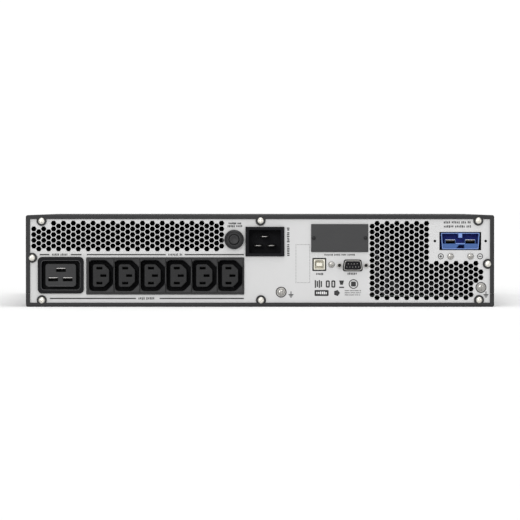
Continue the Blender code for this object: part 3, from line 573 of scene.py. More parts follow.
class Look:
    """One material and the nodes behind it."""

    def __init__(self, name, roughness=0.5, metallic=0.0, specular=0.5, coat=0.0):
        self.material = bpy.data.materials.new(name)
        self.material.use_nodes = True
        self.tree = self.material.node_tree
        self.shader = self.tree.nodes["Principled BSDF"]
        self.shader.inputs["Roughness"].default_value = roughness
        self.shader.inputs["Metallic"].default_value = metallic
        self.shader.inputs["Specular IOR Level"].default_value = specular
        self.shader.inputs["Coat Weight"].default_value = coat
        self.place = self.node("ShaderNodeTexCoord", {}, {}, "Object")

    def node(self, kind, settings, sockets, output=0):
        """A node with its settings, then its sockets' values or links. Gives one of its outputs."""
        made = self.tree.nodes.new(kind)
        for name, value in settings.items():
            if name == "stops":
                made.color_ramp.elements[0].position = value[0]
                made.color_ramp.elements[1].position = value[1]
            else:
                setattr(made, name, value)
        for name, value in sockets.items():
            if isinstance(value, Value):
                self.tree.links.new(value.socket, made.inputs[name])
            else:
                made.inputs[name].default_value = value
        return Value(self, made.outputs[output])

    def noise(self, scale, detail=2.0, stretch=(1, 1, 1)):
        """Noise of so many features to the metre, stretched by its scale along each axis."""
        where = self.node("ShaderNodeMapping", {}, {"Vector": self.place, "Scale": stretch})
        return self.node("ShaderNodeTexNoise", {}, {"Vector": where, "Scale": scale, "Detail": detail})

    def steep(self, value, low, high):
        """A value as a mask that rises from 0 at low to 1 at high."""
        return self.node("ShaderNodeMapRange", {}, {"Value": value, "From Min": low, "From Max": high})

    def mix(self, share, first, second):
        """A colour between two."""
        return self.node("ShaderNodeMix", {"data_type": "RGBA"},
                         {"Factor": share, 6: shade(first), 7: shade(second)}, 2)

    def feed(self, socket, value):
        self.tree.links.new(value.socket, self.shader.inputs[socket])

    def bump(self, height, distance):
        """Relief of so many metres between height 0 and 1."""
        self.feed("Normal", self.node("ShaderNodeBump", {}, {"Height": height, "Distance": distance}))


def shade(colour, factor=1.0):
    """A colour with its opacity, lighter or darker by a factor. A link is passed on."""
    if isinstance(colour, Value):
        return colour
    return (*(min(1.0, channel * factor) for channel in tuple(colour)[:3]), 1.0)


def powder_coat(name, colour, spread=0.12):
    """Sheet metal under a fine-grained powder coat, a little uneven and a little rubbed."""
    look = Look(name, specular=0.26)
    cloud = look.noise(7, 4)
    grain = look.noise(1500, 3)
    speck = look.steep(look.noise(900, 1), 0.62, 0.7)
    smear = look.steep(look.noise(24, 5, (1, 0.25, 1)), 0.55, 0.8)
    tone = look.mix(cloud, shade(colour, 1 - spread), shade(colour, 1 + spread))
    tone = look.mix(speck * 0.25, tone, shade(colour, 1.6))
    look.feed("Base Color", tone)
    look.feed("Roughness", 0.48 + (grain - 0.5) * 0.18 + smear * -0.05 + (cloud - 0.5) * 0.1)
    look.bump(grain, 0.06 * MM)
    return look.material


def smooth_paint(name, colour):
    """Light enamel with a trace of orange peel, faint dust and handling marks."""
    look = Look(name, specular=0.3)
    peel = look.noise(700, 2)
    cloud = look.noise(9, 3)
    dust = look.steep(look.noise(60, 6, (1, 1, 0.4)), 0.6, 0.85)
    tone = look.mix(cloud, shade(colour, 0.975), shade(colour, 1.02))
    tone = look.mix(dust * 0.35, tone, shade(colour, 0.88))
    look.feed("Base Color", tone)
    look.feed("Roughness", 0.46 + dust * 0.15 + (peel - 0.5) * 0.1)
    look.bump(peel, 0.02 * MM)
    return look.material


def moulded(name, colour, roughness=0.48, grain_height=0.03 * MM, specular=0.3):
    """Injection-moulded plastic with a spark-eroded grain and faint flow marks."""
    look = Look(name, specular=specular)
    grain = look.noise(2600, 2)
    pits = look.node("ShaderNodeTexVoronoi", {"feature": "SMOOTH_F1"},
                     {"Vector": look.place, "Scale": 1700.0})
    flow = look.noise(35, 3, (1, 1, 3))
    look.feed("Base Color", look.mix(flow, shade(colour, 0.85), shade(colour, 1.18)))
    look.feed("Roughness", roughness + (flow - 0.5) * 0.16 + (grain - 0.5) * 0.12)
    look.bump(grain * 0.5 + pits * 0.5, grain_height)
    return look.material


def plated(name, colour, roughness=0.3, tint=(0.8, 0.72, 0.5), tint_share=0.25, brush=(1, 1, 1)):
    """Plated steel, with cloudy passivation, fine machining marks and a few dull spots."""
    look = Look(name, metallic=1.0)
    cloud = look.noise(420, 3)
    marks = look.noise(1800, 2, brush)
    dull = look.steep(look.noise(700, 4), 0.55, 0.75)
    tone = look.mix(cloud * tint_share, colour, tint)
    look.feed("Base Color", look.mix(dull * 0.3, tone, shade(colour, 0.72)))
    look.feed("Roughness", roughness + dull * 0.18 + (marks - 0.5) * 0.2)
    look.bump(marks, 0.012 * MM)
    return look.material


def oxide_black(name):
    """Blackened screw steel, slightly worn."""
    look = Look(name, metallic=0.6)
    worn = look.steep(look.noise(900, 4), 0.5, 0.8)
    look.feed("Base Color", look.mix(worn, (0.014, 0.014, 0.015), (0.05, 0.048, 0.045)))
    look.feed("Roughness", 0.5 - worn * 0.15)
    look.bump(look.noise(2500, 2), 0.015 * MM)
    return look.material


def ink(name, colour):
    """Screen print, a little thin and rough at fine scale."""
    look = Look(name, specular=0.25)
    thin = look.steep(look.noise(1600, 3), 0.45, 0.9)
    look.feed("Base Color", look.mix(thin * 0.25, colour, (0.2, 0.2, 0.2)))
    look.feed("Roughness", 0.55 + thin * 0.2)
    look.bump(look.noise(3000, 2), 0.01 * MM)
    return look.material


def fibre_board(name):
    """A circuit board: solder mask over fine tracks that run two ways, with its weave."""
    look = Look(name)
    pitch, gap = 2.4 * MM, 1.5 * MM
    along_y, along_x = (look.node("ShaderNodeSeparateXYZ", {}, {"Vector": look.place}, axis) % pitch > gap
                        for axis in (0, 1))
    zone = look.steep(look.noise(45, 1), 0.49, 0.51)
    tracks = along_y * zone + along_x * (1 - zone)
    weave = look.noise(1400, 1, (1, 4, 1))
    look.feed("Base Color", look.mix(tracks, (0.002, 0.008, 0.005), (0.004, 0.016, 0.009)))
    look.feed("Roughness", 0.35 + weave * 0.2)
    look.bump(tracks * 0.8 + weave * 0.2, 0.04 * MM)
    return look.material


def enamelled_wire(name):
    """Copper winding under amber enamel."""
    look = Look(name, metallic=0.9, coat=0.4)
    tone = look.noise(300, 3)
    look.feed("Base Color", look.mix(tone, (0.42, 0.15, 0.05), (0.72, 0.32, 0.13)))
    look.feed("Roughness", 0.25 + tone * 0.2)
    look.bump(look.noise(2200, 2), 0.01 * MM)
    return look.material


def smoked_window(name):
    """A glossy dark display window with fine dust and wiping marks."""
    look = Look(name, specular=0.6)
    wipe = look.steep(look.noise(30, 6, (1, 1, 5)), 0.5, 0.8)
    dust = look.steep(look.noise(1300, 2), 0.68, 0.74)
    look.feed("Base Color", look.mix(dust * 0.3, (0.004, 0.006, 0.009), (0.1, 0.1, 0.1)))
    look.feed("Roughness", 0.06 + wipe * 0.12 + dust * 0.3)
    return look.material


def lit_screen(name, low, high, strength):
    """A backlit area whose brightness varies in soft patches."""
    look = Look(name)
    patch = look.noise(25, 1)
    fine = look.noise(4000, 1)
    tone = look.mix(patch, low, high)
    look.feed("Base Color", tone)
    look.feed("Emission Color", tone)
    look.feed("Roughness", 0.3 + fine * 0.2)
    look.shader.inputs["Emission Strength"].default_value = strength
    return look.material


FINISHES = {
    "case_paint": lambda name: powder_coat(name, colours().case_paint),
    "cover_paint": lambda name: powder_coat(name, colours().cover_paint, 0.06),
    "panel_paint": lambda name: smooth_paint(name, colours().panel_paint),
    "black_plastic": lambda name: moulded(name, colours().black_plastic, specular=0.1),
    "deep_black": lambda name: moulded(name, (0.003, 0.003, 0.0045), 0.6, specular=0.12),
    "grey_plastic": lambda name: moulded(name, colours().grey_plastic, specular=0.28),
    "bezel_plastic": lambda name: moulded(name, colours().bezel_plastic, 0.42, 0.05 * MM, 0.4),
    # The grey plastic darkened: painted shade on the recessed inserts of the small outlets.
    "core_plastic": lambda name: moulded(name, shade(colours().grey_plastic, 0.68), specular=0.2),
    "blue_plastic": lambda name: moulded(name, colours().blue_plastic, 0.4, specular=0.4),
    # A lighter blue for painted highlight on the battery connector's edges, and a dark navy for painted
    # shade on its floor.
    "blue_rim": lambda name: moulded(name, (0.15, 0.24, 0.52), 0.4, specular=0.4),
    "blue_floor": lambda name: moulded(name, (0.009, 0.018, 0.165), 0.5, specular=0.12),
    # A lighter plastic, for painted highlight on the large outlet's edges.
    "edge_plastic": lambda name: moulded(name, (0.06, 0.06, 0.062), 0.4, specular=0.35),
    "cream_plastic": lambda name: moulded(name, (0.66, 0.64, 0.56), 0.4, specular=0.4),
    "zinc_plate": lambda name: plated(name, (0.7, 0.69, 0.655), 0.36, (0.62, 0.58, 0.48), 0.4),
    "tinned_copper": lambda name: plated(name, (0.85, 0.83, 0.8), 0.3,
                                         (0.8, 0.6, 0.4), 0.3, (1, 0.1, 1)),
    "gold_contact": lambda name: plated(name, (0.85, 0.62, 0.25), 0.25, (0.9, 0.7, 0.35), 0.3),
    "aluminium": lambda name: plated(name, (0.8, 0.8, 0.82), 0.36,
                                     (0.7, 0.7, 0.72), 0.4, (1, 0.05, 1)),
    "anodised": lambda name: plated(name, (0.03, 0.03, 0.032), 0.45,
                                    (0.02, 0.02, 0.022), 0.5, (1, 0.05, 1)),
    "dull_zinc": lambda name: plated(name, (0.36, 0.355, 0.345), 0.32, (0.31, 0.29, 0.25), 0.4),
    # Nickel darkened almost to black: painted shade on the inlet's pins.
    "dark_nickel": lambda name: plated(name, (0.05, 0.048, 0.046), 0.4, (0.04, 0.038, 0.036), 0.5),
    "dull_nickel": lambda name: plated(name, (0.42, 0.41, 0.4), 0.34, (0.3, 0.29, 0.28), 0.5),
    "black_steel": oxide_black,
    "panel_ink": lambda name: ink(name, colours().ink),
    "faint_ink": lambda name: ink(name, (0.2, 0.2, 0.2)),
    "white_ink": lambda name: ink(name, (0.7, 0.7, 0.7)),
    "circuit_board": fibre_board,
    "copper_wire": enamelled_wire,
    "display_glass": smoked_window,
    "lcd_field": lambda name: lit_screen(name, (0.02, 0.12, 0.26), (0.035, 0.19, 0.36), 0.5),
    "lcd_mark": lambda name: lit_screen(name, (0.6, 0.85, 0.95), (0.75, 0.95, 1.0), 1.2),
    "green_light": lambda name: lit_screen(name, (0.05, 0.7, 0.12), (0.1, 0.85, 0.2), 2.5),
}
made_finishes = {}


def finish(name):
    """The material of that name, made the first time that it is asked for."""
    if name not in made_finishes:
        made_finishes[name] = FINISHES[name](f"{name}_finish")
    return made_finishes[name]


# ---- Screws ----

CASE_SCREWS = [f"case_screw_{place}" for place in (
    "top_left", "top_middle", "top_right", "side_left", "side_right",
    "bottom_left", "bottom_middle", "bottom_right")]
TOP_SCREWS, SIDE_SCREWS, BOTTOM_SCREWS = CASE_SCREWS[:3], CASE_SCREWS[3:5], CASE_SCREWS[5:]


def dome(radius, height, straight=0.3, steps=7):
    """The profile of a rounded head from its top to its foot."""
    angles = [math.pi / 2 * step / steps for step in range(steps + 1)]
    profile = [(radius * math.sin(a), height * (straight + (1 - straight) * math.cos(a) ** 0.8))
               for a in angles]
    return [*profile, (radius, 0.06 * height), (radius * 0.97, 0)]


def cross_head(radius, height, shank, washer=0.0, washer_height=0.0):
    """A pan-head screw with a cross recess, facing the rear, with its washer or flange."""
    base = washer_height
    profile = [(r, h + base) for r, h in dome(radius, height - base)]
    if washer:
        profile += [(washer - 0.3, base), (washer, base - 0.3), (washer, 0)]
    profile += [(shank, 0), (shank, -3), (0, -3)]
    body = turned(profile, (0, 0, 0))
    reach, half = 0.58 * radius, 0.15 * radius
    recess = lofted([cross(0, 0, reach, half)], [
        (-height - 1, 0, 0), (-height + 0.1 * height, 0, 0), (-0.35 * height, 0.6 * half, 0)])
    return carved(body, recess)


def screw_places(nodes, plane):
    """Where the middles of those nodes stand on a plane."""
    return [(middle(node)[0], plane, middle(node)[1]) for node in nodes]


def screw_kinds():
    """For each kind: name, nodes, one screw, the plane that it sits on, finish and material slot."""
    head = extent(CASE_SCREWS[0])[0] / 2
    return [
        ("case_screws", CASE_SCREWS, cross_head(head, 2.1, 1.4), RIM_Y, "zinc_plate", "zinc_plate"),
        ("panel_screws", ["battery_screw_positive", "battery_screw_negative", "data_port_screw"],
         cross_head(3, 1.7, 1.4), PANEL_Y, "dull_zinc", "zinc_plate"),
        ("earth_screws", ["ground_screw_left", "ground_screw_right"],
         cross_head(3.4, 2.6, 1.9, 4.3, 0.8), PANEL_Y, "dull_zinc", "zinc_plate"),
        ("slot_screws", ["slot_screw_left", "slot_screw_right"],
         cross_head(1.8, 0.8, 1.2), PANEL_Y - SHEET - SEAM_GAP, "black_steel", "black_steel"),
    ]


def make_screws():
    for number, (name, nodes, screw, plane, look, slot) in enumerate(screw_kinds()):
        heads = repeated(name, screw, screw_places(nodes, plane), look,
                         spin=2 * math.pi, seed=sizes().seed + number)
        piece(name, [(look, [heads])], nodes)


# ---- The case ----

def tab_arc(screw, along, inward, edge_distance, steps=24):
    """The half-round that a screw's tab makes in the rim's inner edge."""
    radius = length("tab_radius")
    lift = math.asin(edge_distance / radius)
    points = []
    for step in range(steps + 1):
        angle = math.pi + lift - (math.pi + 2 * lift) * step / steps
        reach, depth = radius * math.cos(angle), radius * math.sin(angle)
        points.append((screw[0] + along[0] * reach + inward[0] * depth,
                       screw[1] + along[1] * reach + inward[1] * depth))
    return points


def rim_window():
    """The rim's inner edge, walked anticlockwise from the lower left corner."""
    reach = CASE_HALF - length("rim_side")
    low, high = length("rim_bottom"), CASE_HEIGHT - length("rim_top")
    points = [(-reach, low)]
    for node in BOTTOM_SCREWS:
        screw = middle(node)
        points += tab_arc(screw, (1, 0), (0, 1), screw[1] - low)
    points.append((reach, low))
    screw = middle(SIDE_SCREWS[1])
    points += tab_arc(screw, (0, 1), (-1, 0), reach - screw[0])
    points.append((reach, high))
    for node in reversed(TOP_SCREWS):
        screw = middle(node)
        points += tab_arc(screw, (-1, 0), (0, -1), high - screw[1])
    points.append((-reach, high))
    screw = middle(SIDE_SCREWS[0])
    points += tab_arc(screw, (0, -1), (1, 0), screw[0] + reach)
    return points


def sleeve(bend=2):
    """The rim with its bent outer edge, and the sleeve that runs from it to the front."""
    half_height = CASE_HEIGHT / 2
    outer = rounded_rectangle(0, half_height, 2 * CASE_HALF, CASE_HEIGHT, bend)
    inner = rounded_rectangle(
        0, half_height, 2 * (CASE_HALF - SHEET), CASE_HEIGHT - 2 * SHEET, bend - SHEET)
    rim = plate([outer, rim_window()], RIM_Y, RIM_Y + SHEET, (1.1, 0.15), 0, steps=4)
    walls = plate([outer, inner], RIM_Y + SHEET, CASE_FRONT_Y, 0, 0.15)
    return rim, walls


def side_screws(height):
    """Countersunk screws along the seam, level with the sides."""
    head = 2.9
    profile = [(0, 0.05), (head - 0.4, 0.05), (head, -0.1), (1.2, -1.6), (0, -1.6)]
    recess = lofted([cross(0, 0, 1.7, 0.4)],
                    [(-1, 0, 0), (-0.1, 0, 0), (1.1, 0.25, 0)])
    pattern = carved(turned(profile, (0, 0, 0)), recess)
    rows = [RIM_Y + 40, RIM_Y + 170, RIM_Y + 300]
    solids = []
    for side in (-1, 1):
        places = [(side * CASE_HALF, y, height) for y in rows]
        solids.append(repeated(f"seam_screws_{side}", pattern.copy(), places, "black_steel",
                               turn=(0, 0, side * math.pi / 2), spin=2 * math.pi, seed=sizes().seed))
    pattern.free()
    return solids


def make_case():
    tray_top = SEAM_TOP - SEAM_GAP
    upstand_top = box("base_tray")[1].z
    piece("top_cover", [("case_paint", [cut_at(solid, SEAM_TOP, True) for solid in sleeve()])],
          ["top_cover"])
    solids = [cut_at(solid, tray_top, False) for solid in sleeve()]
    inner = CASE_HALF - SHEET - SEAM_GAP
    for side in (-1, 1):
        wall = sorted((side * inner, side * (inner - SHEET)))
        hem = sorted((side * (inner + SHEET), side * (inner - SHEET)))
        solids.append(block((wall[0], PANEL_BACK_Y + SEAM_GAP, SHEET / 2),
                            (wall[1], CASE_FRONT_Y - SEAM_GAP, upstand_top), 0.2))
        solids.append(block((hem[0], PANEL_BACK_Y + SEAM_GAP, SHEET / 2),
                            (hem[1], CASE_FRONT_Y - SEAM_GAP, tray_top - 0.4), 0.2))
    piece("base_tray", [("case_paint", solids)], ["base_tray"])
    screws = side_screws((SEAM_TOP + upstand_top) / 2)
    piece("seam_screws", [("black_steel", screws)], [])


# ---- The rear panel and its print ----

def left_vent():
    """Staggered columns in the upper left. The first four make room for a screw's tab."""
    start_x, start_z = -211.5, 78.2
    pitch_x, pitch_z = length("hole_pitch_x"), length("hole_pitch_z")
    columns, rows, under_tab = 39, 5, 4
    holes = []
    for column in range(columns):
        for row in range(1 if column < under_tab else 0, rows):
            z = start_z - (row + column % 2 / 2) * pitch_z
            holes.append((start_x + column * pitch_x, z))
    return holes


def right_vent():
    """Tall columns, then short ones under the battery connector, then a stepped edge."""
    start_x, start_z = 104.9, 78
    pitch_x, pitch_z = length("hole_pitch_x"), length("hole_pitch_z")
    tall, short = 12, 9
    holes = []
    for column in range(tall + short + 2):
        shifted = (column + 1) % 2
        first, last = 0, 13 - shifted
        if column >= tall:
            first = 7
        if column >= tall + short:
            first, last = 7 + column - tall - short, 10 - (column - tall - short)
        for row in range(first, last + 1):
            z = start_z - (row + shifted / 2) * pitch_z
            holes.append((start_x + column * pitch_x, z))
    return holes


def make_rear_panel():
    width, height = extent("rear_panel")
    serial = middle("serial_shell")
    battery = middle("battery_connector")
    slot = middle("slot_cover")
    outlines = [
        rectangle(*middle("rear_panel"), width, height),
        rounded_rectangle(*middle("outlet_c19"), 39.4, 30.6, 1),
        rounded_rectangle(*middle("outlet_block"), 145.8, 32.2, 1),
        rounded_rectangle(*middle("inlet_housing"), 33.2, 25.2, 1),
        circle(*middle("breaker_body"), 6.4, 40),
        rounded_rectangle(*slot, 42, 22, 1),
        rounded_rectangle(*middle("data_port_shell"), 13, 12.2, 0.5),
        rounded(trapezoid(*serial, 16.4, 19.4, 11.2), 2),
        rectangle(*battery, 39.1, 17.1),
    ]
    outlines += [circle(battery[0] + side * 23.75, battery[1], 1.25, 24) for side in (-1, 1)]
    holes = left_vent() + right_vent()
    sheet = perforated(outlines, holes, PANEL_Y, PANEL_BACK_Y, length("hole_size"), "panel_paint")
    piece("rear_panel", [("panel_paint", [sheet])], ["rear_panel"], smooth_angle=25)


def printed(outlines):
    """Ink on the rear panel, in the shape of flat outlines."""
    return plate(outlines, PANEL_Y - length("ink_height"), PANEL_Y + 0.1)


def rule(start, end, z, thickness=1.15):
    return printed([rectangle((start + end) / 2, z, end - start, thickness)])


def greeked(name, lines, look, upright=True, plane=None, seed=1, weight=0.48):
    """Lines of small strokes that stand for print without being letters.

    A line is (start, end, middle, height) along X and Z, or along Z and X if it isn't upright.
    """
    ruled = random.Random(seed)
    depth = length("ink_height")
    outer = PANEL_Y if plane is None else plane
    solids = []
    for number, (start, end, centre, height) in enumerate(lines):
        stroke, gap = weight * height, 0.66 * height
        places = []
        along = start
        letters = ruled.randint(4, 7)
        while along < end - stroke:
            if letters == 0:
                along += gap * 0.7
                letters = ruled.randint(3, 7)
                continue
            letters -= 1
            shift = ruled.uniform(-0.06, 0.06) * height
            place = (along + stroke / 2, centre + shift)
            if not upright:
                place = place[::-1]
            places.append((place[0], outer, place[1]))
            along += gap
        size, least = (stroke, height), (0.75, 1, 0.7)
        if not upright:
            size, least = size[::-1], least[::-1]
        dot = plate([rectangle(0, 0, *size)], -depth, 0.1)
        solids.append(repeated(f"{name}_{number}", dot, places, look, seed=seed + number, sway=least))
    return solids


def earth_sign(x, z):
    """A short stem over three bars that get shorter."""
    bars = [(0, 1.4, 0.8, 2.8), (0, -0.2, 4.6, 0.85), (0, -1.35, 3.0, 0.85), (0, -2.5, 1.4, 0.85)]
    return [printed([rectangle(x + dx, z + dz, w, h)]) for dx, dz, w, h in bars]


def polarity_sign(x, z, plus):
    ring = printed([circle(x, z, 2.8), circle(x, z, 2.05)])
    bars = [printed([rectangle(x, z, 2.6, 0.9)])]
    if plus:
        bars = [printed([cross(x, z, 1.3, 0.45)])]
    return [ring, *bars]


def marks():
    """Plain shapes where a maker would print approvals. They stand for none of the real ones."""
    solids = [printed([rectangle(51.8 + 1.85 * i, 21.3, 1.25, 7.2 - 1.6 * (i % 2))])
              for i in range(4)]
    for x in (63.4, 68.6):
        solids.append(printed([rounded_rectangle(x, 21.3, 3.8, 6.8, 1.2),
                               rounded_rectangle(x, 21.3, 1.2, 4.2, 0.4)]))
    solids.append(printed([trapezoid(76.3, 22.6, 4.6, 2.4, 4)]))
    solids.append(rule(74.0, 78.6, 18.2, 1.2))
    solids.append(printed([circle(87.4, 21.3, 4.5), circle(87.4, 21.3, 3.6)]))
    solids.append(printed([rounded_rectangle(87.4, 21.3, 4.6, 4.6, 0.8)]))
    solids.append(printed([rounded_rectangle(57.6, 12.9, 13.2, 5.6, 0.9)]))
    solids.append(printed([circle(71.8, 12.9, 3, 5)]))
    return solids


def make_print():
    rules = [(-206.0, -196.9, 48.8), (-176.9, -166.9, 48.8), (-162.0, -88.0, 48.8),
             (-70.5, -15.1, 48.8), (-196.6, -116.1, 7.8), (-93.9, -15.1, 7.8)]
    solids = [rule(start, end, z) for start, end, z in rules]
    solids += earth_sign(29.0, 11.6) + earth_sign(211.4, 11.6)
    # A dark ring printed round each earth screw: painted shadow at the edge of its washer.
    for node in ("ground_screw_left", "ground_screw_right"):
        solids.append(printed([circle(*middle(node), 5.1, 40), circle(*middle(node), 4.2, 40)]))
    solids += polarity_sign(169.1, 47.2, True) + polarity_sign(205.8, 47.2, False)
    solids += marks()
    labels = [
        (-194.5, -179.3, 48.8, 2.1), (-85.8, -72.6, 48.8, 2.1), (-113.8, -96.2, 7.8, 2.4),
        (60.3, 89.6, 48.6, 1.8), (52.5, 59.3, 30.7, 2.1), (81.8, 91.9, 31.0, 2.3),
        (171.8, 197.7, 79.0, 2.4), (171.8, 197.4, 75.1, 2.4),
        (79.3, 94.5, 15.1, 1.1), (79.3, 94.5, 13.1, 1.1), (79.3, 94.0, 11.1, 1.1),
    ]
    solids += greeked("label", labels, "panel_ink", seed=3)
    bold = [(-29.5, -16.6, 78.0, 1.9), (-30.5, -16.0, 75.4, 2.2)]
    solids += greeked("bold_label", bold, "panel_ink", seed=7, weight=0.54)
    solids += greeked("inlet_label", [(47.5, 74.7, 26.4, 2.5)], "panel_ink",
                      upright=False, seed=11, weight=0.52)
    piece("panel_print", [("panel_ink", solids)], [])
    reversed_out = greeked("badge", [(52.6, 62.8, 12.9, 2.6)], "white_ink",
                           plane=PANEL_Y - length("ink_height"), seed=5)
    piece("badge_print", [("white_ink", reversed_out)], [])
    make_label_outline()


def make_label_outline():
    """The dotted corners and sides that show where a label is stuck on."""
    left, right, low, high = 33.6, 46.5, 22.6, 58.2
    pitch = 1.35
    places = []
    across, up = round((right - left) / pitch), round((high - low) / pitch)
    for i in range(across + 1):
        places += [(left + (right - left) * i / across, PANEL_Y, z) for z in (low, high)]
    for i in range(1, up):
        places += [(x, PANEL_Y, low + (high - low) * i / up) for x in (left, right)]
    dot = plate([rectangle(0, 0, 0.65, 0.65)], -length("ink_height"), 0.1)
    dots = repeated("label_dots", dot, places, "faint_ink")
    piece("label_outline", [("faint_ink", [dots])], [])


# ---- Sockets ----

SOCKET_FACE = 2.8


def socket_shell(at, flange, cavity, body, depth, edge=0.5, back_depth=28):
    """A socket's flange, the walls of its recess and its floor, as three solids."""
    face = PANEL_Y - SOCKET_FACE
    rim = plate([flange, cavity], face, PANEL_Y - 0.05, (0.6, edge), 0)
    walls = plate([rounded_rectangle(*at, *body, 0.8), cavity], PANEL_Y - 0.05, face + depth)
    base = plate([rounded_rectangle(*at, *body, 0.8)], face + depth, PANEL_Y + back_depth, 0, 0.5)
    return [rim, walls, base]


def insert(outline, slots, depth, step):
    """The block in the middle of a socket, with the slots for the plug's pins."""
    face = PANEL_Y - SOCKET_FACE
    return plate([outline, *slots], face + step, face + depth + 0.2, (0.5, 0.25), 0)


def slot_springs(slots, width, step, look_height):
    """The edge of the contact that shows at the top of each slot."""
    face = PANEL_Y - SOCKET_FACE
    springs = []
    for x, z, height in slots:
        top = z + height / 2
        springs.append(block((x - width / 2, face + step + 0.3, top - look_height),
                             (x + width / 2, face + step + 10, top), 0.1))
    return springs


def make_large_outlet():
    at = middle("outlet_c19")
    cavity = rounded_rectangle(*at, 36.1, 27.1, 3, 6)
    flange = rounded_rectangle(*at, *extent("outlet_c19"), 4, 8)
    places = [(at[0] + dx, at[1] + dz, 3.6) for dx, dz in ((0.2, 4.9), (-7.1, -3.9), (6.5, -3.9))]
    slots = [rounded_rectangle(x, z, 9, height, 0.4, 2) for x, z, height in places]
    core = rounded_rectangle(*at, 28.8, 21.3, 2.6, 6)
    solids = socket_shell(at, flange, cavity, (38.8, 30), 16, 0.8)
    middle_block = insert(core, slots, 16, 1.2)
    springs = slot_springs(places, 8.4, 1.2, 0.6)
    face = PANEL_Y - SOCKET_FACE
    # The lip round the cavity and the ledge under the insert are in a lighter plastic: painted highlight
    # on edges that catch the light.
    lip = plate([rounded_rectangle(*at, 37, 28, 3.4, 6), cavity],
                face - 0.2, face + 0.6, (0.2, 0.4), 0)
    x, z = at
    highlight_ledge = block((x - 12, face + 1, z - 10.5), (x + 12, face + 1.8, z - 10), 0.15)
    piece("outlet_c19", [("black_plastic", solids), ("grey_plastic", [middle_block]),
                         ("edge_plastic", [lip, highlight_ledge]), ("dull_nickel", springs)],
          ["outlet_c19"])


def make_outlet_block():
    at = middle("outlet_block")
    width, height = extent("outlet_block")
    face = PANEL_Y - SOCKET_FACE
    frame_outline = rounded_rectangle(*at, width, height, 0.8)
    first, pitch, z = -148.45, 24.13, 29.2
    cavities, tiles, inserts, springs = [], [], [], []
    for index in range(6):
        x = first + index * pitch
        cavity = chamfered_right(x, z, 22.3, 28.7, 6.5, 3.6, 4.4)
        cavities.append(cavity)
        tile = rounded_rectangle(x, z, pitch - 0.35, 32, 0.5, 3)
        tiles.append(plate([tile, cavity], face, face + 1.4, (0.3, 0.9), 0))
        places = [(x + dx, z + dz, 2.3) for dx, dz in ((-1.7, 7), (2, 0), (-1.7, -7))]
        slots = [rounded_rectangle(px, pz, 5.5, ph, 0.35, 2) for px, pz, ph in places]
        core = chamfered_right(x - 0.2, z, 15.3, 21.3, 5, 2.2, 2.5)
        # The inserts go in the darkened grey plastic: painted shade in their recess.
        inserts.append(insert(core, slots, 16, 0.8))
        # The contacts are blackened steel so the slots stay dark: painted shade.
        springs += slot_springs(places, 5, 5, 0.5)
    body = (145.2, 31.6)
    base_outline = rounded_rectangle(*at, *body, 0.8)
    solids = [
        plate([frame_outline, *cavities], face + 0.9, PANEL_Y - 0.05, (0.5, 0), 0),
        plate([base_outline, *cavities], PANEL_Y - 0.05, face + 16),
        *tiles,
    ]
    # The floor behind the cavities is near-black: painted shade in the trench round each insert.
    base = plate([base_outline], face + 16, PANEL_Y + 28, 0, 0.5)
    parts = [("grey_plastic", solids), ("core_plastic", inserts),
             ("deep_black", [base]), ("black_steel", springs)]
    piece("outlet_block", parts, ["outlet_block"])


def make_inlet():
    at = middle("inlet_housing")
    cavity = rounded_rectangle(*at, 29.7, 21.7, 0.8, 3)
    flange = rounded_rectangle(*at, *extent("inlet_housing"), 0.6, 3)
    solids = socket_shell(at, flange, cavity, (32.6, 24.6), 20, 0.9, 26)
    lip = plate([rounded_rectangle(*at, 31.1, 23.1, 1.3, 3), cavity],
                PANEL_Y - SOCKET_FACE - 0.2, PANEL_Y - SOCKET_FACE + 0.6, (0.2, 0.3), 0)
    piece("inlet_housing", [("deep_black", [*solids, lip])], ["inlet_housing"])
    for name in ("inlet_pin_earth", "inlet_pin_live", "inlet_pin_neutral"):
        low, high = box(name)
        outline = rounded_rectangle(*middle(name), *extent(name), 0.4, 3)
        # Each pin is nickel darkened almost to black, painted shade in the cavity, with a narrow strip of
        # plain nickel on its end as a painted glint.
        half = 2.2
        pin = lofted([outline], [(low.y + 0.1, 0.72, 0), (low.y + 1.8, 0, 0), (high.y, 0, 0)])
        x, z = middle(name)
        glint_tip = block((x - half, low.y, z - 0.22), (x + half, low.y + 0.6, z + 0.22), 0.06)
        piece(name, [("dark_nickel", [pin]), ("dull_nickel", [glint_tip])], [name])


# ---- Breaker, slot cover and ports ----

def make_breaker():
    x, z = middle("breaker_body")
    proud = PANEL_Y - box("breaker_body")[0].y
    collar = 9.1
    bore = extent("breaker_button")[0] / 2 + 0.3
    profile = [
        (bore, proud - 0.4), (bore + 0.4, proud), (6.2, proud), (6.5, proud - 0.8),
        (7.1, proud - 0.8), (7.4, proud - 0.1), (collar - 0.9, proud - 0.5),
        (collar - 0.2, proud - 1.4), (collar, proud - 2), (collar, 0.05),
        (6, 0.05), (6, -4), (11, -4), (11, -31.8),
        (10.8, -32), (bore, -32),
    ]
    body = turned(profile, (x, PANEL_Y, z), ring=True, steps=64)
    foot = turned([(0, -30), (bore + 1, -30), (bore + 1, -32), (0, -32)],
                  (x, PANEL_Y, z), steps=32)
    piece("breaker_body", [("grey_plastic", [body, foot])], ["breaker_body"])
    button_low, button_high = box("breaker_button")
    radius = extent("breaker_button")[0] / 2
    face, foot = PANEL_Y - button_low.y, PANEL_Y - button_high.y
    profile = [
        (0, face - 0.5), (radius * 0.45, face - 0.45), (radius * 0.72, face - 0.1),
        (radius * 0.82, face), (radius * 0.93, face - 0.15), (radius, face - 0.6),
        (radius, foot), (0, foot),
    ]
    button = turned(profile, (x, PANEL_Y, z), steps=48)
    piece("breaker_button", [("grey_plastic", [button])],
          ["breaker_button"], "breaker_button")


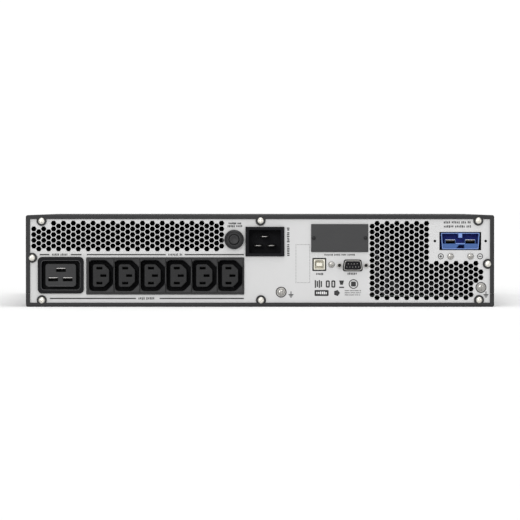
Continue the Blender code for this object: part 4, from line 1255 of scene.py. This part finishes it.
def make_slot_cover():
    x, z = middle("slot_cover")
    width, height = extent("slot_cover")
    face = box("slot_cover")[0].y
    outline = rounded_rectangle(x, z, width, height, 0.5, 3)
    cover = plate([outline], face, PANEL_Y - 0.02, 0.25, 0)
    lip = block((x - width / 2 + 0.3, face - 0.25, z - height / 2 + 0.05),
                (x + width / 2 - 0.3, face + 0.6, z - height / 2 + 1.1), 0.2)
    # The cover is in a lighter copy of the case paint: painted highlight on its flat face.
    piece("slot_cover", [("cover_paint", [cover, lip])], ["slot_cover"])


def make_data_port():
    x, z = middle("data_port_shell")
    low, high = box("data_port_shell")
    width, height = extent("data_port_shell")
    outlines = [rounded_rectangle(x, z, width, height, 0.8),
                rounded_rectangle(x, z, 11.2, 10.4, 0.5)]
    # The shell is blackened steel so it reads as the shadow gap round the port: painted shade.
    shell = plate(outlines, low.y, high.y, 0.15)
    piece("data_port_shell", [("black_steel", [shell])], ["data_port_shell"])
    low, high = box("data_port_core")
    mouth = rounded(rectangle(x, z, 8.4, 7.8), [0.3, 0.3, 1.8, 1.8], 3)
    outer = rounded_rectangle(x, z, 10.6, 9.8, 0.5)
    core = [
        plate([outer, mouth], low.y, low.y + 6, (0.2, 0.5)),
        plate([outer], low.y + 6, high.y),
        block((x - 2.8, low.y + 0.1, z - 1.6), (x + 2.8, low.y + 6.2, z + 1.6), 0.3),
    ]
    strips = []
    for side in (-1, 1):
        for end in (-1, 1):
            at = (x + end * 1.2, z + side * 1.6)
            strips.append(block((at[0] - 0.5, low.y + 1.2, at[1] - 0.08),
                                (at[0] + 0.5, low.y + 5.9, at[1] + 0.08), 0.03))
    piece("data_port_core", [("cream_plastic", core), ("gold_contact", strips)],
          ["data_port_core"])


def make_serial_port():
    x, z = middle("serial_insert")
    low, high = box("serial_shell")
    flange_y = PANEL_BACK_Y + SEAM_GAP
    inner = rounded(trapezoid(x, z, 13.5, 16.3, 8.1), 1.7)
    outer = rounded(trapezoid(x, z, 14.6, 17.4, 9.2), 2.1)
    holes = [circle(*middle(f"jackscrew_{side}"), 1.9, 24) for side in ("left", "right")]
    rim = plate([outer, inner], low.y, flange_y + 0.2, 0.2)
    # The flange behind the panel and the shell's tube are blackened steel, painted shade in the gap round
    # the port; only the rim in front is zinc.
    back = [
        plate([rounded_rectangle(x, z, 30.8, 12.5, 1), inner, *holes], flange_y, flange_y + 1),
        plate([outer, inner], flange_y + 0.8, high.y),
    ]
    piece("serial_shell", [("dull_zinc", [rim]), ("black_steel", back)], ["serial_shell"])
    low, high = box("serial_insert")
    pitch, row_gap = 2.74, 2.84
    places = [(x + (i - 2) * pitch, z - row_gap / 2) for i in range(5)]
    places += [(x + (i - 1.5) * pitch, z + row_gap / 2) for i in range(4)]
    core = rounded(trapezoid(x, z, 13.2, 15.9, 7.8), 1.5)
    sockets = [circle(px, pz, 0.75, 16) for px, pz in places]
    face = plate([core, *sockets], low.y, low.y + 5, (0.3, 0.15))
    back = plate([core], low.y + 5, high.y)
    pin = turned([(0, 4.6), (0.3, 4.5), (0.5, 4.0), (0.5, 0), (0, 0)], (0, 0, 0), steps=12)
    pins = repeated("serial_pins", pin, [(px, low.y + 5, pz) for px, pz in places], "dull_nickel")
    piece("serial_insert", [("black_plastic", [face, back]), ("dull_nickel", [pins])],
          ["serial_insert"])
    nodes = ["jackscrew_left", "jackscrew_right"]
    hexagon = circle(0, 0, 2.55, 6)
    jack = plate([hexagon, circle(0, 0, 1.5, 24)], -3.2, 0, (0.3, 0.25))
    jacks = repeated("jackscrews", jack, screw_places(nodes, PANEL_Y), "dull_zinc")
    # The threads and the bottom of each hole are blackened steel: painted shade inside the standoffs.
    thread = []
    for px, py, pz in screw_places(nodes, PANEL_Y):
        for turn in range(5):
            top = 2.9 - turn * 0.6
            ring = [(1.53, top), (1.2, top - 0.22), (1.53, top - 0.44)]
            thread.append(turned(ring, (px, py, pz), steps=24, ring=True))
        thread.append(turned([(0, 0.2), (1.55, 0.2), (1.55, -6), (0, -6)], (px, py, pz), steps=24))
    piece("jackscrews", [("dull_zinc", [jacks]), ("black_steel", thread)], nodes)


def make_battery_connector():
    x, z = middle("battery_connector")
    low, high = box("battery_connector")
    face, back = low.y, high.y
    top_width, bottom_width, height = 36, 33.8, 15.3
    outer = rounded(trapezoid(x, z, top_width, bottom_width, height), 0.5, 3)
    wall = 0.7
    mouth = trapezoid(x, z, top_width - 2 * wall, bottom_width - 2 * wall, height - 2 * wall)
    inner = rounded(mouth, 0.4, 3)
    floor = face + 13
    contacts = {side: (x + side * 9.3, z - 0.8) for side in (-1, 1)}
    wells = [rectangle(*at, 9, 3.6) for at in contacts.values()]
    bottom = z - height / 2 + wall / 2
    ledge_top = z - 2.4
    top = z + height / 2
    # The housing's walls and ribs are in a lighter blue: painted highlight on its edges.
    rims = [
        plate([outer, inner], face, floor, 0.3),
        block((x - 1.75, face + 0.1, top - 4.6), (x + 1.75, floor + 1, top - 0.3), 0.3),
        block((x - 4.4, face + 0.6, ledge_top - 0.4), (x + 4.4, floor + 1, ledge_top + 0.4), 0.3),
    ]
    # The floor at the back is a dark navy: painted shade in the deep part.
    base = plate([outer, *wells], floor, back, 0, (0.4, 0))
    solids = [block((x - 7, face + 1.3, ledge_top - 1.3), (x + 7, floor + 1, ledge_top), 0.3)]
    left_foot = [(x - 16.4, bottom), (x - 4, bottom), (x - 0.9, ledge_top - 0.9),
                 (x - 0.9, ledge_top), (x - 16.9, ledge_top)]
    right_foot = [(x + 3.7, bottom), (x + 16.4, bottom), (x + 16.9, ledge_top), (x + 3.7, ledge_top)]
    for foot in (left_foot, right_foot):
        solids.append(plate([rounded(foot, 0.2, 2)], face + 1.1, floor + 1, 0.3))
    tips = []
    shade_liners = []
    for side, (cx, cz) in contacts.items():
        mouth = rounded_rectangle(cx, cz, 8.4, 3.2, 0.3, 2)
        frame_outline = rounded_rectangle(cx, cz, 10.2, 4.7, 0.4, 2)
        solids.append(plate([frame_outline, rectangle(cx, cz, 9, 3.6)], face + 1.6, floor + 1, 0.2))
        # A near-black lining in each contact well: painted shade in the mouth.
        shade_liners.append(plate([rectangle(cx, cz, 9.1, 3.7), mouth], face + 1.7, floor + 1))
        tips.append(block((cx - 4.4, face + 1.5, cz + 1.7), (cx + 4.4, face + 3, cz + 2), 0.1))
    piece("battery_connector", [("blue_plastic", solids), ("blue_rim", rims), ("blue_floor", [base]),
                                ("deep_black", shade_liners), ("tinned_copper", tips)],
          ["battery_connector"])
    for name in ("battery_contact_positive", "battery_contact_negative"):
        low, high = box(name)
        # The blades are blackened steel: painted shade deep in the mouths.
        blade = block((low.x, face + 8, low.z), (high.x, high.y, high.z), 0.3)
        piece(name, [("black_steel", [blade])], [name])


# ---- The front ----

LOUVRE_ROWS = 7
LOUVRE_PITCH = 9
LOUVRE_X = (62, 206)
LOUVRE_HEIGHT = 3.2
BUTTONS = ["power_button", "menu_button_back", "menu_button_enter", "menu_button_next"]


def louvre_heights():
    return [CASE_HEIGHT / 2 + (row - (LOUVRE_ROWS - 1) / 2) * LOUVRE_PITCH
            for row in range(LOUVRE_ROWS)]


def collar_radius(node):
    """A button's cap is 1.2 mm smaller than the collar that keeps it in."""
    return extent(node)[0] / 2 - 1.2


def make_bezel():
    wall = 2.5
    half_height = CASE_HEIGHT / 2
    outer = rounded_rectangle(0, half_height, 2 * CASE_HALF, CASE_HEIGHT, 4, 6)
    inner = rounded_rectangle(0, half_height, 2 * (CASE_HALF - wall), CASE_HEIGHT - 2 * wall, 2, 4)
    centre, width = sum(LOUVRE_X) / 2, LOUVRE_X[1] - LOUVRE_X[0]
    holes = [rounded_rectangle(side * centre, z, width, LOUVRE_HEIGHT, 1.55, 6)
             for side in (-1, 1) for z in louvre_heights()]
    window, (window_width, window_height) = middle("display_window"), extent("display_window")
    holes.append(rounded_rectangle(*window, window_width + 0.6, window_height + 0.6, 1.2))
    holes += [circle(*middle(node), collar_radius(node) + 0.3, 40) for node in BUTTONS]
    solids = [
        plate([outer, *holes], FRONT_Y - wall, FRONT_Y, 0, (2.2, 0.5), steps=4),
        plate([outer, inner], BEZEL_BACK_Y, FRONT_Y - wall, 0.2),
    ]
    seat = rounded(rectangle(*window, window_width + 4, window_height + 4), 1)
    solids.append(plate([seat], FRONT_Y - wall - 1, box("display_window")[0].y - 0.1))
    ribs = []
    slat = lofted([rectangle(0, 0, width + 2, 1.2)], [(0, 0, 0), (9, 0, 0)])
    for vert in slat.verts:
        vert.co.z -= vert.co.y * 0.45
    places = [(side * centre, FRONT_Y - wall - 9.2, z + 5)
              for side in (-1, 1) for z in louvre_heights()]
    ribs.append(repeated("slats", slat, places, "bezel_plastic"))
    bar = block((-0.8, 0, -half_height + 5), (0.8, 7, half_height - 5), 0.2)
    places = [(side * (LOUVRE_X[0] + 24 * i), FRONT_Y - wall - 7.5, half_height)
              for side in (-1, 1) for i in range(1, 6)]
    ribs.append(repeated("louvre_ribs", bar, places, "bezel_plastic"))
    filters = [block((side * centre - width / 2 - 3, BEZEL_BACK_Y + 1.5, 4),
                     (side * centre + width / 2 + 3, BEZEL_BACK_Y + 9.5, CASE_HEIGHT - 4), 0.5)
               for side in (-1, 1)]
    piece("front_bezel", [("bezel_plastic", solids + ribs), ("deep_black", filters)],
          ["front_bezel"])


def make_display():
    """The window, and a picture on it: a battery, a level of load and rows that stand for readings."""
    x, z = middle("display_window")
    low, high = box("display_window")
    outline = rounded_rectangle(x, z, *extent("display_window"), 1)
    glass = plate([outline], low.y, high.y, 0, 0.3)
    top = high.y

    def layer(outlines, height):
        return plate(outlines, top - 0.02, top + height)

    field = layer([rounded_rectangle(x, z, 54, 29, 0.8)], 0.04)
    left, up = x + 20, z + 6.5
    lit = [
        layer([rounded_rectangle(left, up, 10, 6, 0.8),
               rounded_rectangle(left, up, 8.8, 4.8, 0.4)], 0.08),
        layer([rectangle(left - 5.5, up, 1, 2.6)], 0.08),
    ]
    lit += [layer([rectangle(left + (2.9 - 1.95 * i), up, 1.4, 3.6)], 0.08) for i in range(4)]
    for i in range(10):
        height = 1.6 + 0.35 * i
        lit.append(layer([rectangle(x + (7 - 2.4 * i), z - 10.4 + height / 2, 1.5, height)], 0.08))
    rows = [(-24.0, 2.0, 8.2, 2.0), (-24.0, -3.0, 4.2, 2.0), (-24.0, 9.0, -1.0, 1.7)]
    rows = [(start + x, end + x, level + z, height) for start, end, level, height in rows]
    lit += greeked("readings", rows, "lcd_mark", plane=top, seed=21)
    piece("display_window", [("display_glass", [glass]), ("lcd_field", [field]), ("lcd_mark", lit)],
          ["display_window"])


def make_buttons():
    for node in BUTTONS:
        x, z = middle(node)
        low, high = box(node)
        radius, outer = collar_radius(node), extent(node)[0] / 2
        top, foot = high.y - FRONT_Y, low.y - FRONT_Y
        shoulder = foot + 1.5
        profile = [
            (0, top - 0.45), (radius * 0.5, top - 0.35), (radius - 1.2, top - 0.05),
            (radius - 0.8, top), (radius - 0.25, top - 0.2), (radius, top - 0.7),
            (radius, shoulder), (outer, shoulder), (outer, foot), (0, foot),
        ]
        cap = turned(profile, (x, FRONT_Y, z), facing="front", steps=48)
        mark_y = FRONT_Y + top
        if node == "power_button":
            ring = [(3.1, -0.1), (3.5, -0.1), (3.5, -0.5), (3.1, -0.5)]
            mark = [turned(ring, (x, mark_y, z), facing="front", steps=40, ring=True)]
            plastic, look, slot = "bezel_plastic", "green_light", "grey_plastic"
        else:
            mark = [plate([circle(x, z, 1.1, 24)], mark_y - 0.6, mark_y - 0.25)]
            plastic, look, slot = "black_plastic", "white_ink", "black_plastic"
        piece(node, [(plastic, [cap]), (look, mark)], [node], node)
    make_status_lights()


def make_status_lights():
    """Three small indicators beside the display."""
    x, z = middle("power_button")
    places = [(x - 5 + 5 * i, FRONT_Y, z - 14) for i in range(3)]
    lens = turned([(0, 0), (0.7, -0.06), (1.1, -0.3), (1.1, -1), (0, -1)],
                  (0, 0, 0), facing="front", steps=24)
    lights = repeated("lenses", lens, places, "green_light")
    piece("status_lights", [("green_light", [lights])], [])


def make_ears():
    """Two angles with slots for the rack's screws, and the screws that hold them to the case."""
    rail_pitch = 465.1
    slot_heights = (11, 74)
    sheet = 2
    head = cross_head(4, 2.2, 1.8)
    solids, nodes = [], []
    for name, side in (("left", -1), ("right", 1)):
        node = f"rack_ear_{name}"
        low, high = box(node)
        near, far = sorted((abs(low.x), abs(high.x)))
        slots = [rounded_rectangle(side * rail_pitch / 2, z, 10, 7, 3.45, 8) for z in slot_heights]
        outline = rectangle(side * (near + far) / 2, CASE_HEIGHT / 2, far - near, high.z - low.z)
        front = plate([rounded(outline, 1.5, 4), *slots], high.y - sheet, high.y, 0.25, 0.3)
        leg = sorted((side * near, side * (near + sheet)))
        wing = block((leg[0], low.y, low.z), (leg[1], high.y - 0.3, high.z), 0.3)
        piece(node, [("case_paint", [front, wing])], [node])
        screws = [f"ear_screw_{name}_{level}" for level in ("lower", "upper")]
        places = []
        for low, high in (box(screw) for screw in screws):
            places.append((side * (near + sheet), (low.y + high.y) / 2, (low.z + high.z) / 2))
        nodes += screws
        solids.append(repeated(f"ear_screws_{name}", head.copy(), places, "zinc_plate",
                               turn=(0, 0, side * math.pi / 2), spin=2 * math.pi,
                               seed=sizes().seed + 5))
    head.free()
    piece("ear_screws", [("zinc_plate", solids)], nodes)


# ---- Inside the case ----

def fan_blade(inner, outer, chord, lean, thickness, along=7, across=6):
    """One swept and cambered blade, as a closed solid about the Y axis."""
    solid = bmesh.new()
    sides = []
    for face in (-1, 1):
        grid = []
        for i in range(along + 1):
            radius = inner + (outer - inner) * i / along
            pitch = math.radians(lean - 14 * i / along)
            sweep = 0.3 * (i / along) ** 2
            row = []
            for j in range(across + 1):
                share = j / across - 0.5
                camber = 0.1 * chord * (1 - 4 * share * share)
                travel = share * chord * math.cos(pitch) - camber * math.sin(pitch)
                rise = share * chord * math.sin(pitch) + camber * math.cos(pitch)
                angle = travel / radius + sweep
                thick = thickness * (1 - 0.7 * abs(2 * share)) / 2
                corner = (radius * math.cos(angle), rise + face * thick, radius * math.sin(angle))
                row.append(solid.verts.new(corner))
            grid.append(row)
        sides.append(grid)
        for i in range(along):
            for j in range(across):
                solid.faces.new((grid[i][j], grid[i + 1][j], grid[i + 1][j + 1], grid[i][j + 1]))
    one, two = sides
    for i in range(along):
        for j in (0, across):
            solid.faces.new((one[i][j], one[i + 1][j], two[i + 1][j], two[i][j]))
    for j in range(across):
        for i in (0, along):
            solid.faces.new((one[i][j], one[i][j + 1], two[i][j + 1], two[i][j]))
    bmesh.ops.recalc_face_normals(solid, faces=solid.faces)
    return solid


def make_fans():
    for name in ("left", "right"):
        rotor, housing = f"fan_rotor_{name}", f"fan_frame_{name}"
        x, z = middle(housing)
        low, high = box(housing)
        opening, bolt_reach, tip_radius = 38, 35.7, 36.4
        outline = rounded_rectangle(x, z, *extent(housing), 3.5)
        round_hole = circle(x, z, opening, 72)
        corners = [circle(x + dx * bolt_reach, z + dz * bolt_reach, 2.2, 20)
                   for dx in (-1, 1) for dz in (-1, 1)]
        tunnel = circle(x, z, opening + 1.9, 72)
        solids = [
            plate([outline, round_hole, *corners], low.y, low.y + 4, 0.3),
            plate([outline, round_hole, *corners], high.y - 4, high.y, 0, 0.3),
            plate([tunnel, round_hole], low.y + 3.9, high.y - 3.9),
            plate([rounded(cross(x, z, opening + 0.8, 1.6), 0)], low.y + 0.5, low.y + 3, 0.3),
        ]
        hub = [(0, 20), (1.8, 20), (2, 19.8), (2, 4), (16.6, 4),
               (17, 3.6), (17, 0.6), (16.6, 0.2), (0, 0.2)]
        solids.append(turned(hub, (x, low.y, z), facing="front", steps=48))
        piece(housing, [("deep_black", solids)], [housing])
        hub_radius, bore = 17, 2.3
        cup = [
            (0, 22.3), (hub_radius - 6, 22.5), (hub_radius - 1, 22.5),
            (hub_radius - 0.3, 22.2), (hub_radius, 21.5), (hub_radius, 4.5),
            (bore, 4.5), (bore, 20.5), (0, 20.5),
        ]
        count = sizes().blades
        blade = fan_blade(hub_radius - 0.6, tip_radius, 16, 46, 1.5)
        blades = repeated(f"{rotor}_blades", blade, [(x, low.y + 12.5, z)] * count, "black_plastic",
                          step=(0, 2 * math.pi / count, 0))
        cap = turned(cup, (x, low.y, z), facing="front", steps=48)
        label = turned([(0, 22.56), (9.5, 22.56), (9.5, 22.3), (0, 22.3)],
                       (x, low.y, z), facing="front", steps=40)
        piece(rotor, [("black_plastic", [cap, blades]), ("faint_ink", [label])],
              [rotor], rotor)


def make_capacitors():
    for name in ("capacitor_left", "capacitor_right"):
        low, high = box(name)
        place = ((low.x + high.x) / 2, (low.y + high.y) / 2, low.z)
        radius, height = (high.x - low.x) / 2, high.z - low.z
        profile = [
            (0, height - 0.5), (radius - 2.6, height - 0.5), (radius - 2.4, height),
            (radius - 0.8, height - 0.1), (radius, height - 1), (radius, 5.5),
            (radius - 0.9, 4.6), (radius - 0.9, 3.8), (radius, 3),
            (radius, 0.6), (radius - 0.6, 0), (0, 0),
        ]
        can = turned(profile, place, facing="up", steps=48)
        lid = turned([(0, height - 0.35), (radius - 2.7, height - 0.35), (radius - 2.7, height - 0.9),
                      (0, height - 0.9)], place, facing="up", steps=48)
        piece(name, [("black_plastic", [can]), ("aluminium", [lid])], [name])


def make_choke():
    """A ring core wound with turns of wire."""
    low, high = box("filter_choke")
    place = Vector(((low.x + high.x) / 2, (low.y + high.y) / 2, (low.z + high.z) / 2))
    ring = (high.z - low.z) / 2
    reach = (high.x - low.x) / 2 - ring
    wire = 1.1
    core_radius = ring - 2 * wire - 0.4
    angles = [2 * math.pi * i / 24 for i in range(24)]
    profile = [(reach + core_radius * math.cos(a), core_radius * math.sin(a)) for a in angles]
    core = turned(profile, place, facing="up", steps=64, ring=True)
    loop_radius = ring - wire - 0.1
    section = [2 * math.pi * i / 8 for i in range(8)]
    loop_profile = [(loop_radius + wire * math.cos(a), wire * math.sin(a)) for a in section]
    loop = turned(loop_profile, (reach, 0, 0), facing="rear", steps=28, ring=True)
    turns = 16
    pitch = 2 * math.pi / (2 * turns + 5)
    halves = [repeated(f"winding_{start}", loop.copy(), [place] * turns, "copper_wire",
                       turn=(0, 0, start * math.pi + 1.5 * pitch), step=(0, 0, pitch))
              for start in (0, 1)]
    loop.free()
    piece("filter_choke", [("black_plastic", [core]), ("copper_wire", halves)],
          ["filter_choke"])


def make_heatsink():
    """Fins on a base, set down one by one."""
    low, high = box("heatsink")
    fins = 10
    fin = 2.5
    base = block((low.x, low.y, low.z), (high.x, high.y, low.z + 6), 0.3)
    height = high.z - low.z - 5.8
    pattern = plate([rounded([(-fin / 2, 0), (fin / 2, 0), (fin * 0.35, height), (-fin * 0.35, height)],
                             [0, 0, 0.5, 0.5], 3)], 0, high.y - low.y, 0.2, 0.2)
    pitch = (high.x - low.x - fin) / (fins - 1)
    places = [(low.x + fin / 2 + pitch * i, low.y, low.z + 5.8) for i in range(fins)]
    row = repeated("fins", pattern, places, "anodised")
    piece("heatsink", [("anodised", [base, row])], ["heatsink"])


def overlap(one, other):
    """Whether two (left, near, right, far) rectangles meet."""
    return (one[0] < other[2] and one[2] > other[0]
            and one[1] < other[3] and one[3] > other[1])


def scattered_parts(low, high, top, seed, count, keep_clear):
    """Small upright parts on a board, as (finish, solids) pairs."""
    ruled = random.Random(seed)
    groups = {"black_plastic": [], "anodised": [], "grey_plastic": [], "deep_black": []}
    taken = list(keep_clear)
    made = 0
    for _ in range(4000):
        if made == count:
            break
        kind = ruled.choice(list(groups))
        width, depth = ruled.uniform(3, 12), ruled.uniform(3, 10)
        x = ruled.uniform(low.x + 4, high.x - 4 - width)
        y = ruled.uniform(low.y + 4, high.y - 4 - depth)
        spot = (x - 1, y - 1, x + width + 1, y + depth + 1)
        if any(overlap(spot, other) for other in taken):
            continue
        taken.append(spot)
        made += 1
        height = ruled.uniform(2, min(14, top - high.z))
        if kind == "anodised":
            radius = min(width, depth) / 2
            place = (x + radius, y + radius, high.z - 0.1)
            part = turned(dome(radius, height + 2, 0.95, 3), place, facing="up", steps=20)
        else:
            part = block((x, y, high.z - 0.1), (x + width, y + depth, high.z + height), 0.3)
        groups[kind].append(part)
    return [(kind, solids) for kind, solids in groups.items() if solids]


def footprint(node):
    low, high = box(node)
    return low.x - 2, low.y - 2, high.x + 2, high.y + 2


# For each board: the headroom over it, its count of small parts, their seed, and what they keep clear of.
BOARDS = {
    "power_board": (20, 90, 8, [
        "heatsink", "capacitor_left", "capacitor_right", "filter_choke", "port_board"]),
    "port_board": (8, 22, 9, ["data_port_shell", "serial_shell", "serial_insert", "data_port_core"]),
}


def make_boards():
    for name, (headroom, count, seed, neighbours) in BOARDS.items():
        low, high = box(name)
        board = block(tuple(low), tuple(high), 0.2)
        clear = [footprint(node) for node in neighbours]
        parts = scattered_parts(low, high, high.z + headroom, seed, count, clear)
        piece(name, [("circuit_board", [board]), *parts], [name])


def dress_carried_nodes():
    """Every CAD node that is still shown gets a finish."""
    # The fan wall is near-black so the interior seen through the vents reads as painted shade.
    looks = {"fan_wall": "deep_black"}
    for name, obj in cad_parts.items():
        if obj.hide_render:
            continue
        obj.data.materials.clear()
        obj.data.materials.append(finish(looks.get(name, "black_plastic")))


# ---- Floor, light and camera ----

def make_floor():
    """A plain pale floor that runs to the horizon."""
    reach = 60.0
    mesh = bpy.data.meshes.new("floor")
    steps = 12
    faces = []
    verts = [(reach * (2 * i / steps - 1), reach * (2 * j / steps - 1), 0)
             for i in range(steps + 1) for j in range(steps + 1)]
    for i in range(steps):
        for j in range(steps):
            corner = i * (steps + 1) + j
            faces.append((corner, corner + steps + 1, corner + steps + 2, corner + 1))
    mesh.from_pydata(verts, [], faces)
    floor = bpy.data.objects.new("floor", mesh)
    bpy.context.scene.collection.objects.link(floor)
    look = Look("floor_finish", roughness=0.9, specular=0.0)
    look.shader.inputs["Base Color"].default_value = (0.93, 0.93, 0.93, 1)
    mesh.materials.append(look.material)


def add_sun(name, direction, strength, softness):
    """Distant soft light that comes from a direction."""
    data = bpy.data.lights.new(name, "SUN")
    data.energy = strength
    data.angle = math.radians(softness)
    light = bpy.data.objects.new(name, data)
    light.rotation_euler = Vector(direction).to_track_quat("Z", "Y").to_euler()
    bpy.context.scene.collection.objects.link(light)


def make_lights():
    add_sun("key_light", (-0.3, -1.2, 0.35), 1.3, 30)
    add_sun("fill_light", (0.5, -1.1, 0.15), 0.65, 40)
    add_sun("top_light", (0.15, -0.25, 1.6), 1.45, 60)
    world = bpy.data.worlds.new("studio")
    bpy.context.scene.world = world
    world.use_nodes = True
    nodes, links = world.node_tree.nodes, world.node_tree.links
    background = nodes["Background"]
    background.inputs["Color"].default_value = (1, 1, 1, 1)
    path = nodes.new("ShaderNodeLightPath")
    share = nodes.new("ShaderNodeMapRange")
    share.inputs["To Min"].default_value = 0.5
    share.inputs["To Max"].default_value = 1.05
    links.new(path.outputs["Is Camera Ray"], share.inputs["Value"])
    links.new(share.outputs["Result"], background.inputs["Strength"])
    bpy.context.scene.view_settings.view_transform = "Standard"


def make_camera():
    """Straight behind the object and a little above it, with a long lens."""
    data = bpy.data.cameras.new("camera")
    data.lens = 204.45
    data.sensor_width = 36
    data.clip_end = 200
    camera = bpy.data.objects.new("camera", data)
    distance, height, aim_height = 2.76, 0.0945, 0.0438
    place = Vector((0, RIM_Y * MM - distance, height))
    aim = Vector((0, RIM_Y * MM, aim_height))
    camera.location = place
    camera.rotation_mode = "QUATERNION"
    camera.rotation_quaternion = (aim - place).to_track_quat("-Z", "Y")
    bpy.context.scene.collection.objects.link(camera)
    bpy.context.scene.camera = camera


# ---- Operators ----

class Step:
    """What each operator does: it calls its functions in order"""

    def execute(self, context):
        for make in self.makes:
            make()
        return {"FINISHED"}


class UPS_OT_case(Step, bpy.types.Operator):
    """Make the cover, the tray and the screws along their seam"""

    bl_idname = "ups.case"
    bl_label = "Case"
    makes = (make_case,)


class UPS_OT_rear_panel(Step, bpy.types.Operator):
    """Make the perforated rear panel"""

    bl_idname = "ups.rear_panel"
    bl_label = "Rear panel"
    makes = (make_rear_panel,)


class UPS_OT_print(Step, bpy.types.Operator):
    """Print the rules, signs and greeked labels on the rear panel"""

    bl_idname = "ups.print"
    bl_label = "Print"
    makes = (make_print,)


class UPS_OT_screws(Step, bpy.types.Operator):
    """Make the screws on the rear"""

    bl_idname = "ups.screws"
    bl_label = "Screws"
    makes = (make_screws,)


class UPS_OT_outlets(Step, bpy.types.Operator):
    """Make the large outlet and the block of six small ones"""

    bl_idname = "ups.outlets"
    bl_label = "Outlets"
    makes = (make_large_outlet, make_outlet_block)


class UPS_OT_inlet(Step, bpy.types.Operator):
    """Make the inlet and its pins"""

    bl_idname = "ups.inlet"
    bl_label = "Inlet"
    makes = (make_inlet,)


class UPS_OT_breaker(Step, bpy.types.Operator):
    """Make the circuit breaker and its button"""

    bl_idname = "ups.breaker"
    bl_label = "Breaker"
    makes = (make_breaker,)


class UPS_OT_ports(Step, bpy.types.Operator):
    """Make the slot cover, the data port and the serial port"""

    bl_idname = "ups.ports"
    bl_label = "Ports"
    makes = (make_slot_cover, make_data_port, make_serial_port)


class UPS_OT_battery_connector(Step, bpy.types.Operator):
    """Make the battery connector and its contacts"""

    bl_idname = "ups.battery_connector"
    bl_label = "Battery connector"
    makes = (make_battery_connector,)


class UPS_OT_front(Step, bpy.types.Operator):
    """Make the bezel with its display, buttons and lights"""

    bl_idname = "ups.front"
    bl_label = "Front"
    makes = (make_bezel, make_display, make_buttons)


class UPS_OT_ears(Step, bpy.types.Operator):
    """Make the rack ears and their screws"""

    bl_idname = "ups.ears"
    bl_label = "Rack ears"
    makes = (make_ears,)


class UPS_OT_fans(Step, bpy.types.Operator):
    """Make the two fans"""

    bl_idname = "ups.fans"
    bl_label = "Fans"
    makes = (make_fans,)


class UPS_OT_boards(Step, bpy.types.Operator):
    """Make the boards and the parts that stand on them"""

    bl_idname = "ups.boards"
    bl_label = "Boards"
    makes = (make_boards, make_heatsink, make_capacitors, make_choke, dress_carried_nodes)


class UPS_OT_stage(Step, bpy.types.Operator):
    """Make the floor, the lights and the camera"""

    bl_idname = "ups.stage"
    bl_label = "Stage"
    makes = (make_floor, make_lights, make_camera)


STEPS = [UPS_OT_stage, UPS_OT_case, UPS_OT_rear_panel, UPS_OT_print, UPS_OT_screws, UPS_OT_outlets,
         UPS_OT_inlet, UPS_OT_breaker, UPS_OT_ports, UPS_OT_battery_connector, UPS_OT_front, UPS_OT_ears,
         UPS_OT_fans, UPS_OT_boards]


class UPS_PT_build(bpy.types.Panel):
    """Lists the steps, sizes and colours"""

    bl_idname = "UPS_PT_build"
    bl_label = "Rack UPS"
    bl_space_type = "VIEW_3D"
    bl_region_type = "UI"
    bl_category = "Rack UPS"

    def draw(self, context):
        layout = self.layout
        for step in STEPS:
            layout.operator(step.bl_idname)
        for group in (context.scene.ups_sizes, context.scene.ups_colours):
            section = layout.box()
            for name in group.__annotations__:
                section.prop(group, name)


CLASSES = [UpsSizes, UpsColours, *STEPS, UPS_PT_build]


def register():
    for cls in CLASSES:
        bpy.utils.register_class(cls)
    bpy.types.Scene.ups_sizes = PointerProperty(type=UpsSizes)
    bpy.types.Scene.ups_colours = PointerProperty(type=UpsColours)


def unregister():
    del bpy.types.Scene.ups_colours
    del bpy.types.Scene.ups_sizes
    for cls in reversed(CLASSES):
        bpy.utils.unregister_class(cls)


def main():
    register()
    for step in STEPS:
        group, name = step.bl_idname.split(".")
        getattr(getattr(bpy.ops, group), name)()


if __name__ == "__main__":
    main()
